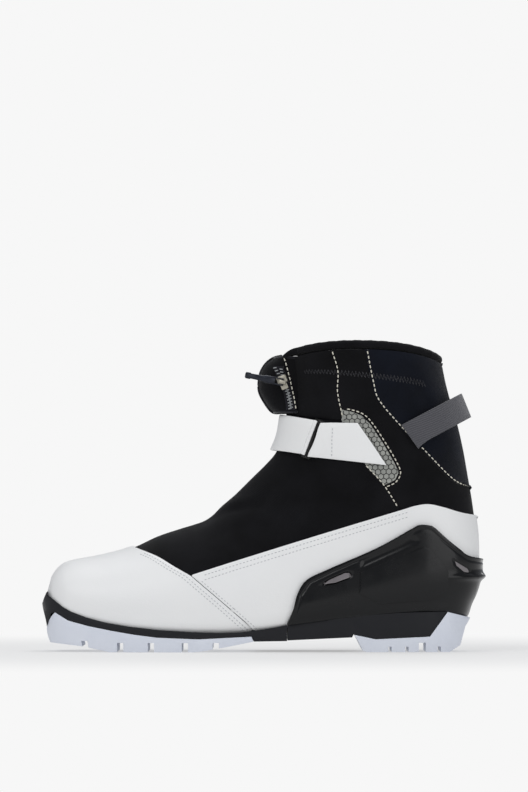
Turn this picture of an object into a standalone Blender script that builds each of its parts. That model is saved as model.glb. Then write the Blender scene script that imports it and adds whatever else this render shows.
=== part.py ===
"""Cross country ski boot for the left foot, touring type.

A lasted boot: board, sock liner and stiffeners inside, a softshell gaiter with a zip outside,
moulded toe cap, side panels and heel counter over it, and a two-part sole with a steel toe bar.

The named values are millimetres and Blender's units are metres. The toe points to -X, the
outer side of the foot is -Y, +Z is up and the sole stands on Z = 0.
"""

import math

import bmesh
import bpy
import numpy as np
from mathutils import Matrix, Vector
from mathutils.bvhtree import BVHTree

MM = 0.001
GAP = 0.3  # clearance between pieces that touch
FAR = 120  # a cutter's reach to either side, past the boot
OUTER, INNER = -1, 1  # the sides of the foot along Y

# ---- The last: one section per row, from the toe to the collar. Each row has the section's
# top x, z and bottom x, z, its half width, the height of its widest line as a share of its
# depth, and the exponents of its upper and lower halves (2 is an ellipse, 4 is boxy).
STATIONS = np.array([
    (-140.4, 39.5, -139.9, 31.0, 15.0, 0.50, 2.2, 2.2),
    (-138.9, 46.5, -138.0, 24.5, 25.5, 0.42, 2.2, 2.6),
    (-133.4, 54.6, -131.0, 18.8, 33.5, 0.36, 2.2, 3.0),
    (-125.5, 58.6, -120.0, 14.8, 38.5, 0.33, 2.2, 3.4),
    (-106.5, 62.2, -98.0, 11.0, 43.5, 0.30, 2.15, 3.8),
    (-86.8, 67.6, -75.0, 8.9, 46.4, 0.28, 2.1, 4.0),
    (-69.3, 75.6, -50.0, 7.8, 47.2, 0.27, 2.0, 4.0),
    (-54.3, 80.6, -24.0, 8.6, 46.0, 0.26, 1.95, 4.0),
    (-42.4, 84.4, 5.0, 11.2, 43.6, 0.26, 1.9, 4.0),
    (-33.0, 89.9, 35.0, 16.6, 41.2, 0.28, 1.9, 4.0),
    (-21.7, 100.0, 70.0, 22.0, 39.2, 0.30, 1.9, 3.8),
    (-10.2, 111.2, 103.0, 25.0, 37.8, 0.33, 1.95, 3.4),
    (0.3, 121.6, 128.0, 28.8, 36.8, 0.37, 2.0, 3.0),
    (7.4, 129.8, 138.4, 46.0, 36.3, 0.42, 2.0, 2.7),
    (11.4, 138.6, 139.9, 72.0, 36.3, 0.46, 2.05, 2.5),
    (13.4, 147.6, 137.2, 95.0, 36.6, 0.48, 2.1, 2.4),
    (14.4, 157.5, 133.2, 120.0, 37.0, 0.50, 2.2, 2.3),
    (14.6, 168.5, 127.6, 147.0, 37.8, 0.50, 2.2, 2.2),
    (14.2, 180.5, 121.2, 168.5, 38.8, 0.50, 2.2, 2.2),
    (13.4, 189.0, 117.2, 187.6, 39.6, 0.50, 2.2, 2.2),
])
LAST_ROW = len(STATIONS) - 1
RINGS, SEGMENTS = 23, 24
TOE_IN = 5.0  # how far the toe leans to the inner side
RIM_ARCH = 8.2  # how far the collar rises above the ankle bones
RIM_ROWS = 3.0  # rows over which that rise fades out
TO_MIDDLE = (1.05, -0.94)  # from the foot's own axes to the middle of the boot's box

# ---- Layers, as distances from the last's surface, outwards positive.
FOOTBED_ABOVE_FEATHER = 8.5  # its top, above the line where the upper meets the sole
LINER = (-6.0, -3.5)
STIFFENER = (-3.2, -2.2)
SKIN = (-1.8, -0.5)
OVERLAY = (0.0, 1.0)
BOARD = (-3.2, 1.0)
TAPE = (0.3, 0.8)
TEETH = (1.1, 1.9)
STRAP = (0.3, 1.5)
HOOKS = (1.8, 2.4)
TAIL = (2.7, 3.9)
RING = (0.4, 2.4)
SOLE_SEAT = 1.5
COUNTER = (1.7, 3.7)
PLATE = (4.1, 5.0)

# ---- Lines on the boot as x, z in side view.
FEATHER = [(-150, 33), (-138, 27), (-130, 21.5), (-118, 17.2), (-98, 13.6), (-75, 11.5),
           (-50, 10.6), (-24, 11.4), (5, 14.0), (35, 19.2), (70, 24.6), (105, 27.8),
           (130, 32), (150, 36)]
COLLAR_SEAM = [(41.6, 206), (41.9, 199.8), (48.2, 182.5), (48.0, 168.8), (51.3, 152.5),
               (57.0, 137), (65.8, 121.9), (78.2, 108.2), (88.5, 92.3), (95, 60)]
HEEL_SEAM = [(64.7, 206), (65.2, 199), (70, 175.7), (74, 163.2), (89.2, 145.4),
             (101.6, 132.9), (122.3, 112.3), (135.4, 107), (150, 105)]
GAITER_TOP = 150.0
TOE_BORDER = [(-100, 75), (-85, 68.6), (-69.3, 62.4), (-58, 55.7), (-47.5, 49.8)]
TOE_SEAM = [(-47.5, 49.8), (-6.6, 14.5), (-3, 8)]
PANEL_TOP = [(-47.5, 49.8), (-15.5, 60), (36, 76), (88.5, 91.9), (98, 94.8), (107, 96),
             (117, 94), (129.2, 90.5), (150, 88)]
WINDOW = [(51.6, 157), (56.5, 156.2), (63.6, 153.4), (69.3, 147.7), (77.8, 134.9),
          (84.9, 122.8), (87.6, 116.6), (84.9, 111.5), (78.6, 108.3)]
COUNTER_TOP = [(15.5, 17.9), (19.3, 27.8), (21.9, 37.6), (27.9, 46.9), (43.4, 54.5),
               (73.5, 67.6), (96, 80), (101, 82.5), (107, 82.4), (111, 80.8), (118.6, 74),
               (127.6, 66.8), (134.3, 62.3), (150, 59.6)]
COUNTER_FOOT = [(150, 34), (141, 33), (135, 23.3), (119.5, 26.9), (88.5, 25.8),
                (58.5, 23.5), (30, 20.3)]
RAND_TOP = [(-150, 41), (-141.6, 37.6), (-134, 32), (-125, 26.2), (-103, 19.3),
            (-68.6, 14.5), (-27.3, 12.4), (-6.6, 13.8), (15.2, 17.5)]
OUTSOLE_TOP = [(-142.6, 18), (-135.8, 25.7), (-127, 20.4), (-114.4, 17), (-99.4, 14),
               (-84.3, 11.4), (-69.3, 9.5), (-42.2, 8.4), (-7.9, 10.1)]
STRAP_UPPER, STRAP_LOWER = [(-20, 160.4), (35.6, 149.8)], [(27.1, 127.3), (-20, 135.9)]
ANCHOR_TIP = [(61, 148.7), (79.6, 121.3)]

# ---- Sole.
TREAD_TOP = 6.0  # depth of the tread cuts and of the guide grooves
TREAD_CUTS = ((-114, 4), (-93, 4), (-73, 4), (-51, 4), (-31, 4))  # x and width of each
GROOVE_WIDTH, GROOVE_CENTRE = 9.0, 16.5
BAR_X, BAR_Z, BAR_RADIUS, BAR_LENGTH = -127.0, 8.0, 2.0, 38.0
RECESS_LENGTH, RECESS_WIDTH, RECESS_TOP = 15.0, 28.0, 10.9
PLATE_LENGTH, PLATE_WIDTH, PLATE_THICK = 16.0, 44.0, 1.2
SHANK_FROM, SHANK_TO, SHANK_HALF_WIDTH = 22.0, 98.0, 13.0

# ---- Closures.
THROAT = 20.0  # half width of the opening at the front of the shaft and liner
RING_AXIS = ((31.9, 138.4), (0.355, 0.934))  # middle of the strap ring and its direction
RING_HALF_LENGTH, RING_HALF_WIDTH, RING_BAR = 13.4, 2.9, 1.9
FLAP_FRONT = [(156.2, 6.5), (160, 2.6), (168.8, -2.4), (176, -2.9), (182.5, -1.6),
              (188, 1.8), (191.6, 6.6)]
FLAP_BACK, FLAP_HALF_WIDTH, FLAP_WALL = 21.0, 20.6, 1.6
LOOP_WIDTH, LOOP_THICK = 16.8, 1.8


# ---------------------------------------------------------------- scene and small helpers

def clear_scene():
    for obj in list(bpy.data.objects):
        bpy.data.objects.remove(obj)


def collection(name):
    made = bpy.data.collections.new(name)
    bpy.context.scene.collection.children.link(made)
    return made


clear_scene()
BOOT = collection("cross_country_boot")
CUTTERS = collection("cutters")


def material(name, colour, roughness, metallic=0.0):
    made = bpy.data.materials.new(name)
    made.use_nodes = True
    shader = made.node_tree.nodes["Principled BSDF"]
    shader.inputs["Base Color"].default_value = (*colour, 1)
    shader.inputs["Roughness"].default_value = roughness
    shader.inputs["Metallic"].default_value = metallic
    return made


FABRIC = material("softshell_fabric", (0.008, 0.009, 0.011), 0.85)
HEEL_FABRIC = material("heel_fabric", (0.007, 0.009, 0.014), 0.7)
MESH_FABRIC = material("honeycomb_mesh", (0.16, 0.16, 0.15), 0.6)
LINING = material("lining", (0.02, 0.02, 0.022), 0.95)
WHITE_PU = material("white_synthetic_leather", (0.76, 0.77, 0.78), 0.45)
WHITE_TPU = material("white_outsole", (0.68, 0.72, 0.79), 0.4)
BLACK_RUBBER = material("black_rand", (0.02, 0.021, 0.024), 0.6)
BLACK_GLOSS = material("gloss_black_moulding", (0.012, 0.012, 0.013), 0.18)
SMOKED = material("smoked_insert", (0.14, 0.125, 0.13), 0.25)
WEBBING = material("webbing", (0.07, 0.07, 0.075), 0.8)
STEEL = material("steel", (0.55, 0.55, 0.56), 0.3, 1.0)
GREY_METAL = material("painted_zip_metal", (0.03, 0.034, 0.045), 0.4, 0.6)
BOARD_FIBRE = material("board_fibre", (0.35, 0.3, 0.24), 0.9)


def add(name, mesh, finish=None):
    """A visible piece with a finish, or a cutter without one."""
    obj = bpy.data.objects.new(name, mesh)
    if finish is None:
        CUTTERS.objects.link(obj)
        obj.hide_render = True
        obj.display_type = "WIRE"
    else:
        BOOT.objects.link(obj)
        mesh.materials.append(finish)
    return obj


def finished(bm, name, finish=None):
    bmesh.ops.recalc_face_normals(bm, faces=bm.faces)
    mesh = bpy.data.meshes.new(name)
    bm.to_mesh(mesh)
    bm.free()
    return add(name, mesh, finish)


def boolean(obj, other, operation):
    change = obj.modifiers.new(other.name, "BOOLEAN")
    change.operation = operation
    change.object = other
    return obj


def applied(obj):
    """The object with its modifiers, or its curve, turned into plain mesh."""
    bpy.context.view_layer.update()
    graph = bpy.context.evaluated_depsgraph_get()
    mesh = bpy.data.meshes.new_from_object(obj.evaluated_get(graph))
    bm = bmesh.new()
    bm.from_mesh(mesh)
    bmesh.ops.remove_doubles(bm, verts=bm.verts, dist=1e-6)
    bm.to_mesh(mesh)
    bm.free()
    name = obj.name
    plain = bpy.data.objects.new(name + "_plain", mesh)
    plain.matrix_world = obj.matrix_world
    for group in obj.users_collection:
        group.objects.link(plain)
    bpy.data.objects.remove(obj)
    plain.name = name
    return plain


def with_origin(obj, origin):
    """The piece with its origin moved to a point on its joint's axis."""
    plain = applied(obj)
    plain.data.transform(Matrix.Translation(-Vector(origin)))
    plain.location = origin
    return plain


def catmull(rows, at):
    """The value at position `at` on a smooth curve through all the rows."""
    low = int(min(max(at, 0), len(rows) - 1.001))
    share = at - low
    before, start = rows[max(low - 1, 0)], rows[low]
    end, after = rows[low + 1], rows[min(low + 2, len(rows) - 1)]
    return 0.5 * (2 * start + (end - before) * share
                  + (2 * before - 5 * start + 4 * end - after) * share ** 2
                  + (3 * start - before - 3 * end + after) * share ** 3)


def smooth(points, steps=2):
    rows = np.array(points, float)
    count = (len(rows) - 1) * steps
    return [tuple(catmull(rows, i / steps)) for i in range(count)] + [tuple(rows[-1])]


def beside(line, distance):
    """The line moved sideways, to its left as it runs for a positive distance."""
    rows = np.array(line, float)
    run = np.gradient(rows, axis=0)
    run /= np.linalg.norm(run, axis=1, keepdims=True)
    return [tuple(p) for p in rows + distance * np.stack([-run[:, 1], run[:, 0]], axis=1)]


def prism(name, outline, near=-FAR, far=FAR, finish=None):
    """An outline in the XZ plane, closed, run from Y = near to Y = far."""
    bm = bmesh.new()
    face = bm.faces.new([bm.verts.new((x * MM, near * MM, z * MM)) for x, z in outline])
    moved = bmesh.ops.extrude_face_region(bm, geom=[face])["geom"]
    ends = [v for v in moved if isinstance(v, bmesh.types.BMVert)]
    bmesh.ops.translate(bm, vec=(0, (far - near) * MM, 0), verts=ends)
    return finished(bm, name, finish)


def upright(name, outline, low, high, finish=None):
    """An outline in the XY plane, closed, run from Z = low to Z = high."""
    bm = bmesh.new()
    face = bm.faces.new([bm.verts.new((x * MM, y * MM, low * MM)) for x, y in outline])
    moved = bmesh.ops.extrude_face_region(bm, geom=[face])["geom"]
    ends = [v for v in moved if isinstance(v, bmesh.types.BMVert)]
    bmesh.ops.translate(bm, vec=(0, 0, (high - low) * MM), verts=ends)
    return finished(bm, name, finish)


def block(name, low, high, finish=None, bevel=0.0):
    bm = bmesh.new()
    bmesh.ops.create_cube(bm, size=1)
    low, high = Vector(low) * MM, Vector(high) * MM
    bmesh.ops.scale(bm, vec=high - low, verts=bm.verts)
    bmesh.ops.translate(bm, vec=(low + high) / 2, verts=bm.verts)
    if bevel:
        bmesh.ops.bevel(bm, geom=list(bm.edges), offset=bevel * MM, segments=1, affect="EDGES")
    return finished(bm, name, finish)


def rod(name, start, end, radius, finish=None, sides=16):
    start, end = Vector(start) * MM, Vector(end) * MM
    along = end - start
    bm = bmesh.new()
    bmesh.ops.create_cone(bm, cap_ends=True, segments=sides, radius1=radius * MM,
                          radius2=radius * MM, depth=along.length)
    turn = along.to_track_quat("Z", "Y").to_matrix().to_4x4()
    bmesh.ops.transform(bm, matrix=Matrix.Translation((start + end) / 2) @ turn, verts=bm.verts)
    return finished(bm, name, finish)


# ---------------------------------------------------------------- the last

def on_last(row, angle):
    """A point of the last, in mm: angle 0 is its top or front line, 180 degrees its sole."""
    top_x, top_z, low_x, low_z, half, widest, crown, sole = catmull(STATIONS, row)
    power = crown if math.cos(angle) >= 0 else sole
    rise = math.copysign(abs(math.cos(angle)) ** (2 / power), math.cos(angle))
    side = math.copysign(abs(math.sin(angle)) ** (2 / power), math.sin(angle))
    share = widest + rise * (1 - widest if rise > 0 else widest)
    x = low_x + (top_x - low_x) * share
    fade = min(max((row - LAST_ROW) / RIM_ROWS + 1, 0), 1)
    z = low_z + (top_z - low_z) * share + RIM_ARCH * fade ** 2 * abs(side) ** 1.6
    return Vector((x, TOE_IN * (max(-x, 0) / 140) ** 2 + half * side, z))


def beyond_last(row, angle, distance):
    """The same point, moved out along the surface's normal."""
    step = 0.03
    ahead, behind = min(row + step, LAST_ROW), max(row - step, 0)
    along = on_last(ahead, angle) - on_last(behind, angle)
    around = on_last(row, angle + step) - on_last(row, angle - step)
    return on_last(row, angle) + around.cross(along).normalized() * -distance


def last_sheet(distance, from_row=0.0, to_row=LAST_ROW, closed=False):
    """The last's surface at a distance, shut at the toe, and at the collar when closed."""
    bm = bmesh.new()
    rings = []
    for i in range(RINGS):
        row = from_row + (to_row - from_row) * i / (RINGS - 1)
        rings.append([bm.verts.new(beyond_last(row, math.tau * j / SEGMENTS, distance) * MM)
                      for j in range(SEGMENTS)])
    for first, second in zip(rings, rings[1:]):
        for j in range(SEGMENTS):
            k = (j + 1) % SEGMENTS
            bm.faces.new((first[j], second[j], second[k], first[k]))
    bm.faces.new(rings[0])
    if closed:
        bm.faces.new(rings[-1])
    bmesh.ops.recalc_face_normals(bm, faces=bm.faces)
    return bm


def layer(name, depths, finish=None):
    """A shell round the last between two distances, open at the collar."""
    inner, outer = depths
    outwards = inner >= 0
    shell = finished(last_sheet(inner if outwards else outer), name, finish)
    wall = shell.modifiers.new("wall", "SOLIDIFY")
    wall.thickness = (outer - inner) * MM
    wall.offset = 1 if outwards else -1
    return shell


def panel(name, depths, outline, finish, near=-FAR, far=FAR, holes=()):
    """The part of a layer that an outline in side view takes in."""
    piece = layer(name, depths, finish)
    boolean(piece, prism("shape_of_" + name, outline, near, far), "INTERSECT")
    for hole in holes:
        boolean(piece, hole, "DIFFERENCE")
    return piece


def last_solid(name, distance):
    return finished(last_sheet(distance, closed=True), name)


def side_of_y(side):
    return (-FAR, -GAP / 2) if side == OUTER else (GAP / 2, FAR)


def named(side):
    return "lateral" if side == OUTER else "medial"


# ---------------------------------------------------------------- sole

def sole_outline(grow=0.0):
    """The sole's edge in plan: half widths along the foot, joined round the toe and heel."""
    half = smooth([(-145.2, 0), (-144.6, 15), (-141.5, 26), (-134, 34.5), (-122, 40.4),
                   (-100, 45.4), (-75, 48.2), (-50, 48.4), (-20, 45.8), (10, 41.6),
                   (40, 38.6), (75, 37.8), (105, 36.4), (122, 31.6), (133, 22), (136.5, 10),
                   (137, 0)])
    centre = [TOE_IN * (max(-x, 0) / 140) ** 2 for x, _ in half]
    upper = [(x, c + y + grow) for (x, y), c in zip(half, centre)]
    lower = [(x, c - y - grow) for (x, y), c in zip(half, centre)]
    return upper + lower[-2:0:-1]


def sole_piece(name, outline, finish, seat):
    piece = prism(name, outline, finish=finish)
    boolean(piece, bpy.data.objects["sole_edge"], "INTERSECT")
    boolean(piece, seat, "DIFFERENCE")
    return piece


def outsole_forefoot(seat):
    bottom = [(-6.6, 6.9), (-25, 3.2), (-40, 0.6), (-46, 0), (-100, 0), (-109.9, 2.2),
              (-119.7, 4.0), (-138.8, 6.2), (-143.2, 12)]
    piece = sole_piece("outsole_forefoot", smooth(OUTSOLE_TOP, 1) + bottom, WHITE_TPU, seat)
    for x, width in TREAD_CUTS:
        lean = 2.4 if x < -100 else 0
        cutter = prism(f"tread_cut_{-x}", [(x - width / 2, -5), (x + width / 2, -5),
                                           (x + width / 2 - lean, TREAD_TOP + lean / 2),
                                           (x - width / 2 - lean, TREAD_TOP + lean / 2)])
        boolean(piece, cutter, "DIFFERENCE")
    for side in (OUTER, INNER):
        middle = side * GROOVE_CENTRE + 1
        groove = block(f"groove_{named(side)}", (-117.5, middle - GROOVE_WIDTH / 2, -5),
                       (0, middle + GROOVE_WIDTH / 2, TREAD_TOP))
        boolean(piece, groove, "DIFFERENCE")
    middle = TOE_IN * (BAR_X / 140) ** 2
    recess = block("bar_recess",
                   (BAR_X - RECESS_LENGTH / 2, middle - RECESS_WIDTH / 2, -5),
                   (BAR_X + RECESS_LENGTH / 2, middle + RECESS_WIDTH / 2, RECESS_TOP))
    boolean(piece, recess, "DIFFERENCE")
    hole = rod("bar_hole", (BAR_X, middle - BAR_LENGTH / 2 - GAP, BAR_Z),
               (BAR_X, middle + BAR_LENGTH / 2 + GAP, BAR_Z), BAR_RADIUS + GAP)
    boolean(piece, hole, "DIFFERENCE")
    floor = RECESS_TOP + 0.6
    reach, half = PLATE_LENGTH / 2, PLATE_WIDTH / 2
    pocket = block("bar_plate_pocket", (BAR_X - reach - 1 - GAP, middle - half - GAP, floor),
                   (BAR_X + reach - 1 + GAP, middle + half + GAP, 40))
    boolean(piece, pocket, "DIFFERENCE")
    rod("toe_bar", (BAR_X, middle - BAR_LENGTH / 2, BAR_Z),
        (BAR_X, middle + BAR_LENGTH / 2, BAR_Z), BAR_RADIUS, STEEL)
    block("toe_bar_plate", (BAR_X - reach - 1, middle - half, floor + GAP),
          (BAR_X + reach - 1, middle + half, floor + GAP + PLATE_THICK), STEEL, bevel=0.4)


def outsole_heel(seat):
    outline = [(59, 11.2), (64.4, 0.8), (67, 0), (121, 0), (128, 4.5), (131.3, 16.5),
               (134.7, 22.2), (119.6, 26), (108, 10), (72.7, 8.3)]
    piece = sole_piece("outsole_heel", outline, WHITE_TPU, seat)
    for x, width, top in ((82, 2, 3.5), (93, 2, 3.5), (103, 4.5, 6), (114, 2, 3.5)):
        cutter = prism(f"heel_cut_{x}", [(x - width / 2, -5), (x + width / 2, -5),
                                         (x + width / 2, top), (x - width / 2, top)])
        boolean(piece, cutter, "DIFFERENCE")
    groove = block("heel_groove", (50, -7, -5), (140, 7, 4.5))
    boolean(piece, groove, "DIFFERENCE")


def midsole(seat):
    top = smooth(RAND_TOP, 2)
    under = beside(smooth(OUTSOLE_TOP, 1), GAP)[1:]
    outline = top + [(15.2, 7.2), (-6.6 + GAP, 6.9)] + under[::-1] + [(-150, 20)]
    sole_piece("midsole_rand", outline, BLACK_RUBBER, seat)
    wedge = [(15.5, 17.6), (30, 20), (58.5, 23.2), (88.5, 25.5), (119.2, 26.3),
             (107.7, 10.3), (72.7, 8.6), (58.5, 11.6), (57.4, 9.5), (15.5, 7.6)]
    piece = sole_piece("midsole_wedge", wedge, BLACK_RUBBER, seat)
    bed = last_solid("shank_bed", 3.1)
    boolean(bed, block("shank_bed_limits", (SHANK_FROM - GAP, -SHANK_HALF_WIDTH - GAP, -5),
                       (SHANK_TO + GAP, SHANK_HALF_WIDTH + GAP, 60)), "INTERSECT")
    boolean(piece, bed, "DIFFERENCE")
    shank = layer("shank_plate", (1.6, 2.8), STEEL)
    boolean(shank, block("shank_limits", (SHANK_FROM, -SHANK_HALF_WIDTH, -5),
                         (SHANK_TO, SHANK_HALF_WIDTH, 60)), "INTERSECT")


def sole():
    upright("sole_edge", sole_outline(), -10, 60)
    seat = last_solid("sole_seat", SOLE_SEAT)
    outsole_forefoot(seat)
    outsole_heel(seat)
    midsole(seat)


# ---------------------------------------------------------------- inside of the boot

def below(line, drop=0.0):
    return [(x, z - drop) for x, z in line] + [(line[-1][0], -20), (line[0][0], -20)]


def front_band(from_row, to_row, share, rise=0.0):
    """A side-view outline along the top line of the last, a share of its depth deep, which
    runs on above its last row by `rise`."""
    steps = [from_row + (to_row - from_row) * i / 12 for i in range(13)]
    rows = [catmull(STATIONS, row) for row in steps]
    outside = [(r[0] - 10, r[1] + 8) for r in rows]
    within = [(r[0] + (r[2] - r[0]) * share, r[1] + (r[3] - r[1]) * share) for r in rows]
    top = [(outside[-1][0], outside[-1][1] + rise), (within[-1][0], within[-1][1] + rise)]
    return outside + (top if rise else []) + within[::-1]


def front_strip(name, depths, rows, near, far, finish):
    """A strip of a layer along the instep, between two distances from its middle line."""
    shape = front_band(rows[0], rows[1], 0.28)
    return panel(name, depths, shape, finish, near, far)


def inside():
    throat = prism("liner_throat", front_band(5.5, LAST_ROW, 0.32, rise=25), -THROAT, THROAT)
    boolean(layer("liner", LINER, LINING), throat, "DIFFERENCE")
    panel("lasting_board", BOARD, below(FEATHER, GAP), BOARD_FIBRE)
    footbed = finished(last_sheet(-6.3, closed=True), "footbed", LINING)
    top = [(x, z + FOOTBED_ABOVE_FEATHER) for x, z in FEATHER]
    boolean(footbed, prism("shape_of_footbed", below(top)), "INTERSECT")
    panel("toe_puff", STIFFENER, [(-150, 28), (-96, 18), (-104, 80), (-150, 80)], LINING)
    panel("heel_stiffener", STIFFENER,
          [(70, 28), (150, 38), (150, 84), (112, 84), (84, 66)], LINING)
    for side in (OUTER, INNER):
        near, far = sorted((side * 15, side * 27))
        front_strip("lace_facing_" + named(side), STIFFENER, (8, 15), near, far, WEBBING)
    tongue()
    lace()


def flap_section(front, back, half_width, count=12):
    """A forward-bulging half oval in plan, from one side to the other."""
    found = []
    for i in range(count + 1):
        angle = math.pi * (i / count - 0.5)
        reach = abs(math.cos(angle)) ** (2 / 2.4)
        side = math.copysign(abs(math.sin(angle)) ** (2 / 2.4), angle)
        found.append((back - (back - front) * reach, half_width * side))
    return found


def tongue():
    """A padded tongue: a strip under the gaiter that swells behind the front flap."""
    strip = front_strip("tongue", (-6, -3.6), (5.8, 19.5), GAP - THROAT, THROAT - GAP, LINING)
    bm = bmesh.new()
    rings = []
    inset = FLAP_WALL + 1.5
    for z, front in FLAP_FRONT[1:]:
        low = z + (0.8 if z < 165 else -0.6 if z < 180 else -2.6)
        outline = flap_section(front + inset, FLAP_BACK - 0.5, THROAT - 2.4)
        rings.append([bm.verts.new((x * MM, y * MM, low * MM)) for x, y in outline])
    for first, second in zip(rings, rings[1:]):
        for j in range(len(first)):
            k = (j + 1) % len(first)
            bm.faces.new((first[j], first[k], second[k], second[j]))
    bm.faces.new(rings[0])
    bm.faces.new(rings[-1])
    boolean(strip, finished(bm, "tongue_pad"), "UNION")


def lace():
    """A flat lace that crosses the tongue between its two facings."""
    path = bpy.data.curves.new("lace", "CURVE")
    path.dimensions = "3D"
    path.bevel_depth = 0.42 * MM
    path.bevel_resolution = 1
    path.use_fill_caps = True
    line = path.splines.new("POLY")
    points = []
    crossings = 9
    for i in range(crossings):
        row = 8.4 + 0.75 * i
        start = 0.27 if i % 2 else -0.27
        for share in (-1, -0.5, 0, 0.5):
            points.append(beyond_last(row + 0.19 * (share + 1), start * -share, -2.9))
    line.points.add(len(points) - 1)
    for point, spot in zip(line.points, points):
        point.co = (*(spot * MM), 1)
    obj = bpy.data.objects.new("lace", path)
    BOOT.objects.link(obj)
    obj = applied(obj)
    obj.data.materials.append(WEBBING)


# ---------------------------------------------------------------- upper

def upper_panels():
    half = GAP / 2
    seam = smooth(COLLAR_SEAM, 1)
    low_seam = [p for p in seam if p[1] < GAITER_TOP]
    high_seam = [p for p in seam if p[1] > GAITER_TOP]
    at_top = (52.2, GAITER_TOP - half)
    feather = smooth(FEATHER, 1)
    ahead = [p for p in feather if p[0] < 95]
    behind = [p for p in feather if p[0] > 97]
    gaiter = [at_top] + beside(low_seam, -half) + [(96, 26.8)] + ahead[::-1] + [(-150, GAITER_TOP - half)]
    panel("gaiter", SKIN, gaiter, FABRIC)
    heel = smooth(HEEL_SEAM, 1)
    throat = prism("shaft_throat", [(-30, GAITER_TOP - 4), (40, GAITER_TOP - 4), (40, 215), (-30, 215)],
                   -THROAT - GAP, THROAT + GAP)
    for side in (OUTER, INNER):
        near, far = side_of_y(side)
        window = prism("window_cut_" + named(side), WINDOW + [(40, 108), (40, 157)], near, far)
        ankle = beside(seam, half) + [(96.4, 26.9)] + behind + beside(heel, -half)[::-1]
        panel("ankle_panel_" + named(side), SKIN, ankle, FABRIC, near, far, [window])
        left = [p for p in beside(seam, half) if 115 < p[1] < 154]
        inset = beside(WINDOW, -GAP) + left[::-1]
        panel("mesh_window_" + named(side), SKIN, inset, MESH_FABRIC, near, far)
        front = [(-30, GAITER_TOP + half), (52.1, GAITER_TOP + half)] + beside(high_seam, -half)[::-1] + [(-30, 206)]
        panel("collar_panel_" + named(side), SKIN, front, FABRIC, near, far, [throat])
    panel("heel_panel", SKIN, beside(heel, half) + [(150, 206)], HEEL_FABRIC)


def overlays():
    half = GAP / 2
    feather = smooth(FEATHER, 1)
    ahead = [p for p in feather if p[0] < -5]
    cap = beside(TOE_BORDER + TOE_SEAM[1:2], -half) + ahead[::-1] + [(-150, 90)]
    panel("toe_cap", OVERLAY, cap, WHITE_PU)
    behind = [p for p in feather if p[0] > 0]
    for side in (OUTER, INNER):
        near, far = side_of_y(side)
        outline = beside(PANEL_TOP[::-1] + TOE_SEAM[1:2], half) + behind
        panel("side_panel_" + named(side), OVERLAY, outline, WHITE_PU, near, far)


def collar_binding():
    """A rolled edge round the collar, open at the throat."""
    path = bpy.data.curves.new("collar_binding", "CURVE")
    path.dimensions = "3D"
    path.bevel_depth = 2.7 * MM
    path.bevel_resolution = 2
    path.use_fill_caps = True
    line = path.splines.new("POLY")
    count = 30
    start = 0.62
    spots = []
    for i in range(count + 1):
        angle = start + (math.tau - 2 * start) * i / count
        spots.append(beyond_last(LAST_ROW, angle, -3.1) + Vector((0, 0, 3.4)))
    line.points.add(count)
    for point, spot in zip(line.points, spots):
        point.co = (*(spot * MM), 1)
    obj = bpy.data.objects.new("collar_binding", path)
    BOOT.objects.link(obj)
    applied(obj).data.materials.append(FABRIC)


def front_flap():
    """The bound front edge of the gaiter, which stands forward of the shaft."""
    bm = bmesh.new()
    rings = []
    for z, front in smooth(FLAP_FRONT, 1):
        outline = flap_section(front, FLAP_BACK, FLAP_HALF_WIDTH)
        rings.append([bm.verts.new((x * MM, y * MM, z * MM)) for x, y in outline])
    for first, second in zip(rings, rings[1:]):
        for j in range(len(first) - 1):
            bm.faces.new((first[j], first[j + 1], second[j + 1], second[j]))
    flap = finished(bm, "front_flap", FABRIC)
    if flap.data.polygons[len(flap.data.polygons) // 2].normal.x > 0:
        flap.data.flip_normals()
    wall = flap.modifiers.new("wall", "SOLIDIFY")
    wall.thickness = FLAP_WALL * MM
    wall.offset = -1
    skin = last_solid("flap_clearance", 2.2)
    return boolean(flap, skin, "DIFFERENCE")


# ---------------------------------------------------------------- heel counter

FRONT_SLOT = [(36.9, 43.4), (41.5, 46.6), (53.5, 51.9), (56.2, 51.7), (57.2, 50.2),
              (56.2, 48.4), (46, 44.6)]
REAR_SLOT = [(123.6, 59.6), (132.8, 54.2), (135.6, 50.3), (130.5, 51.6), (124.6, 56.4)]
RAISED_PLATE = [(62.9, 51.8), (103.5, 68.3), (107.3, 67.6), (115.6, 59.3), (120.1, 51.8),
                (118.6, 39.8), (108, 33.5), (76, 31), (62, 38)]


def shrunk(outline, share):
    """The outline scaled down about its middle."""
    rows = np.array(outline, float)
    middle = rows.mean(axis=0)
    return [tuple(p) for p in middle + (rows - middle) * share]


def counter():
    outline = smooth(COUNTER_TOP, 1) + COUNTER_FOOT
    slots = [prism("front_slot", FRONT_SLOT), prism("rear_slot", REAR_SLOT)]
    panel("heel_counter", COUNTER, outline, BLACK_GLOSS, holes=slots)
    for side in (OUTER, INNER):
        near, far = side_of_y(side)
        panel("counter_plate_" + named(side), PLATE, RAISED_PLATE, BLACK_GLOSS, near, far)
        for place, slot in (("front", FRONT_SLOT), ("rear", REAR_SLOT)):
            panel(f"counter_insert_{place}_{named(side)}", (1.4, 3.0), shrunk(slot, 0.8),
                  SMOKED, near, far)


# ---------------------------------------------------------------- strap

def ring_line(offset, reach):
    """A line parallel to the strap ring, offset towards the heel, top to bottom."""
    (x, z), (dx, dz) = RING_AXIS
    return [(x + dz * offset + dx * t, z - dx * offset + dz * t) for t in (reach, -reach)]


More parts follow.
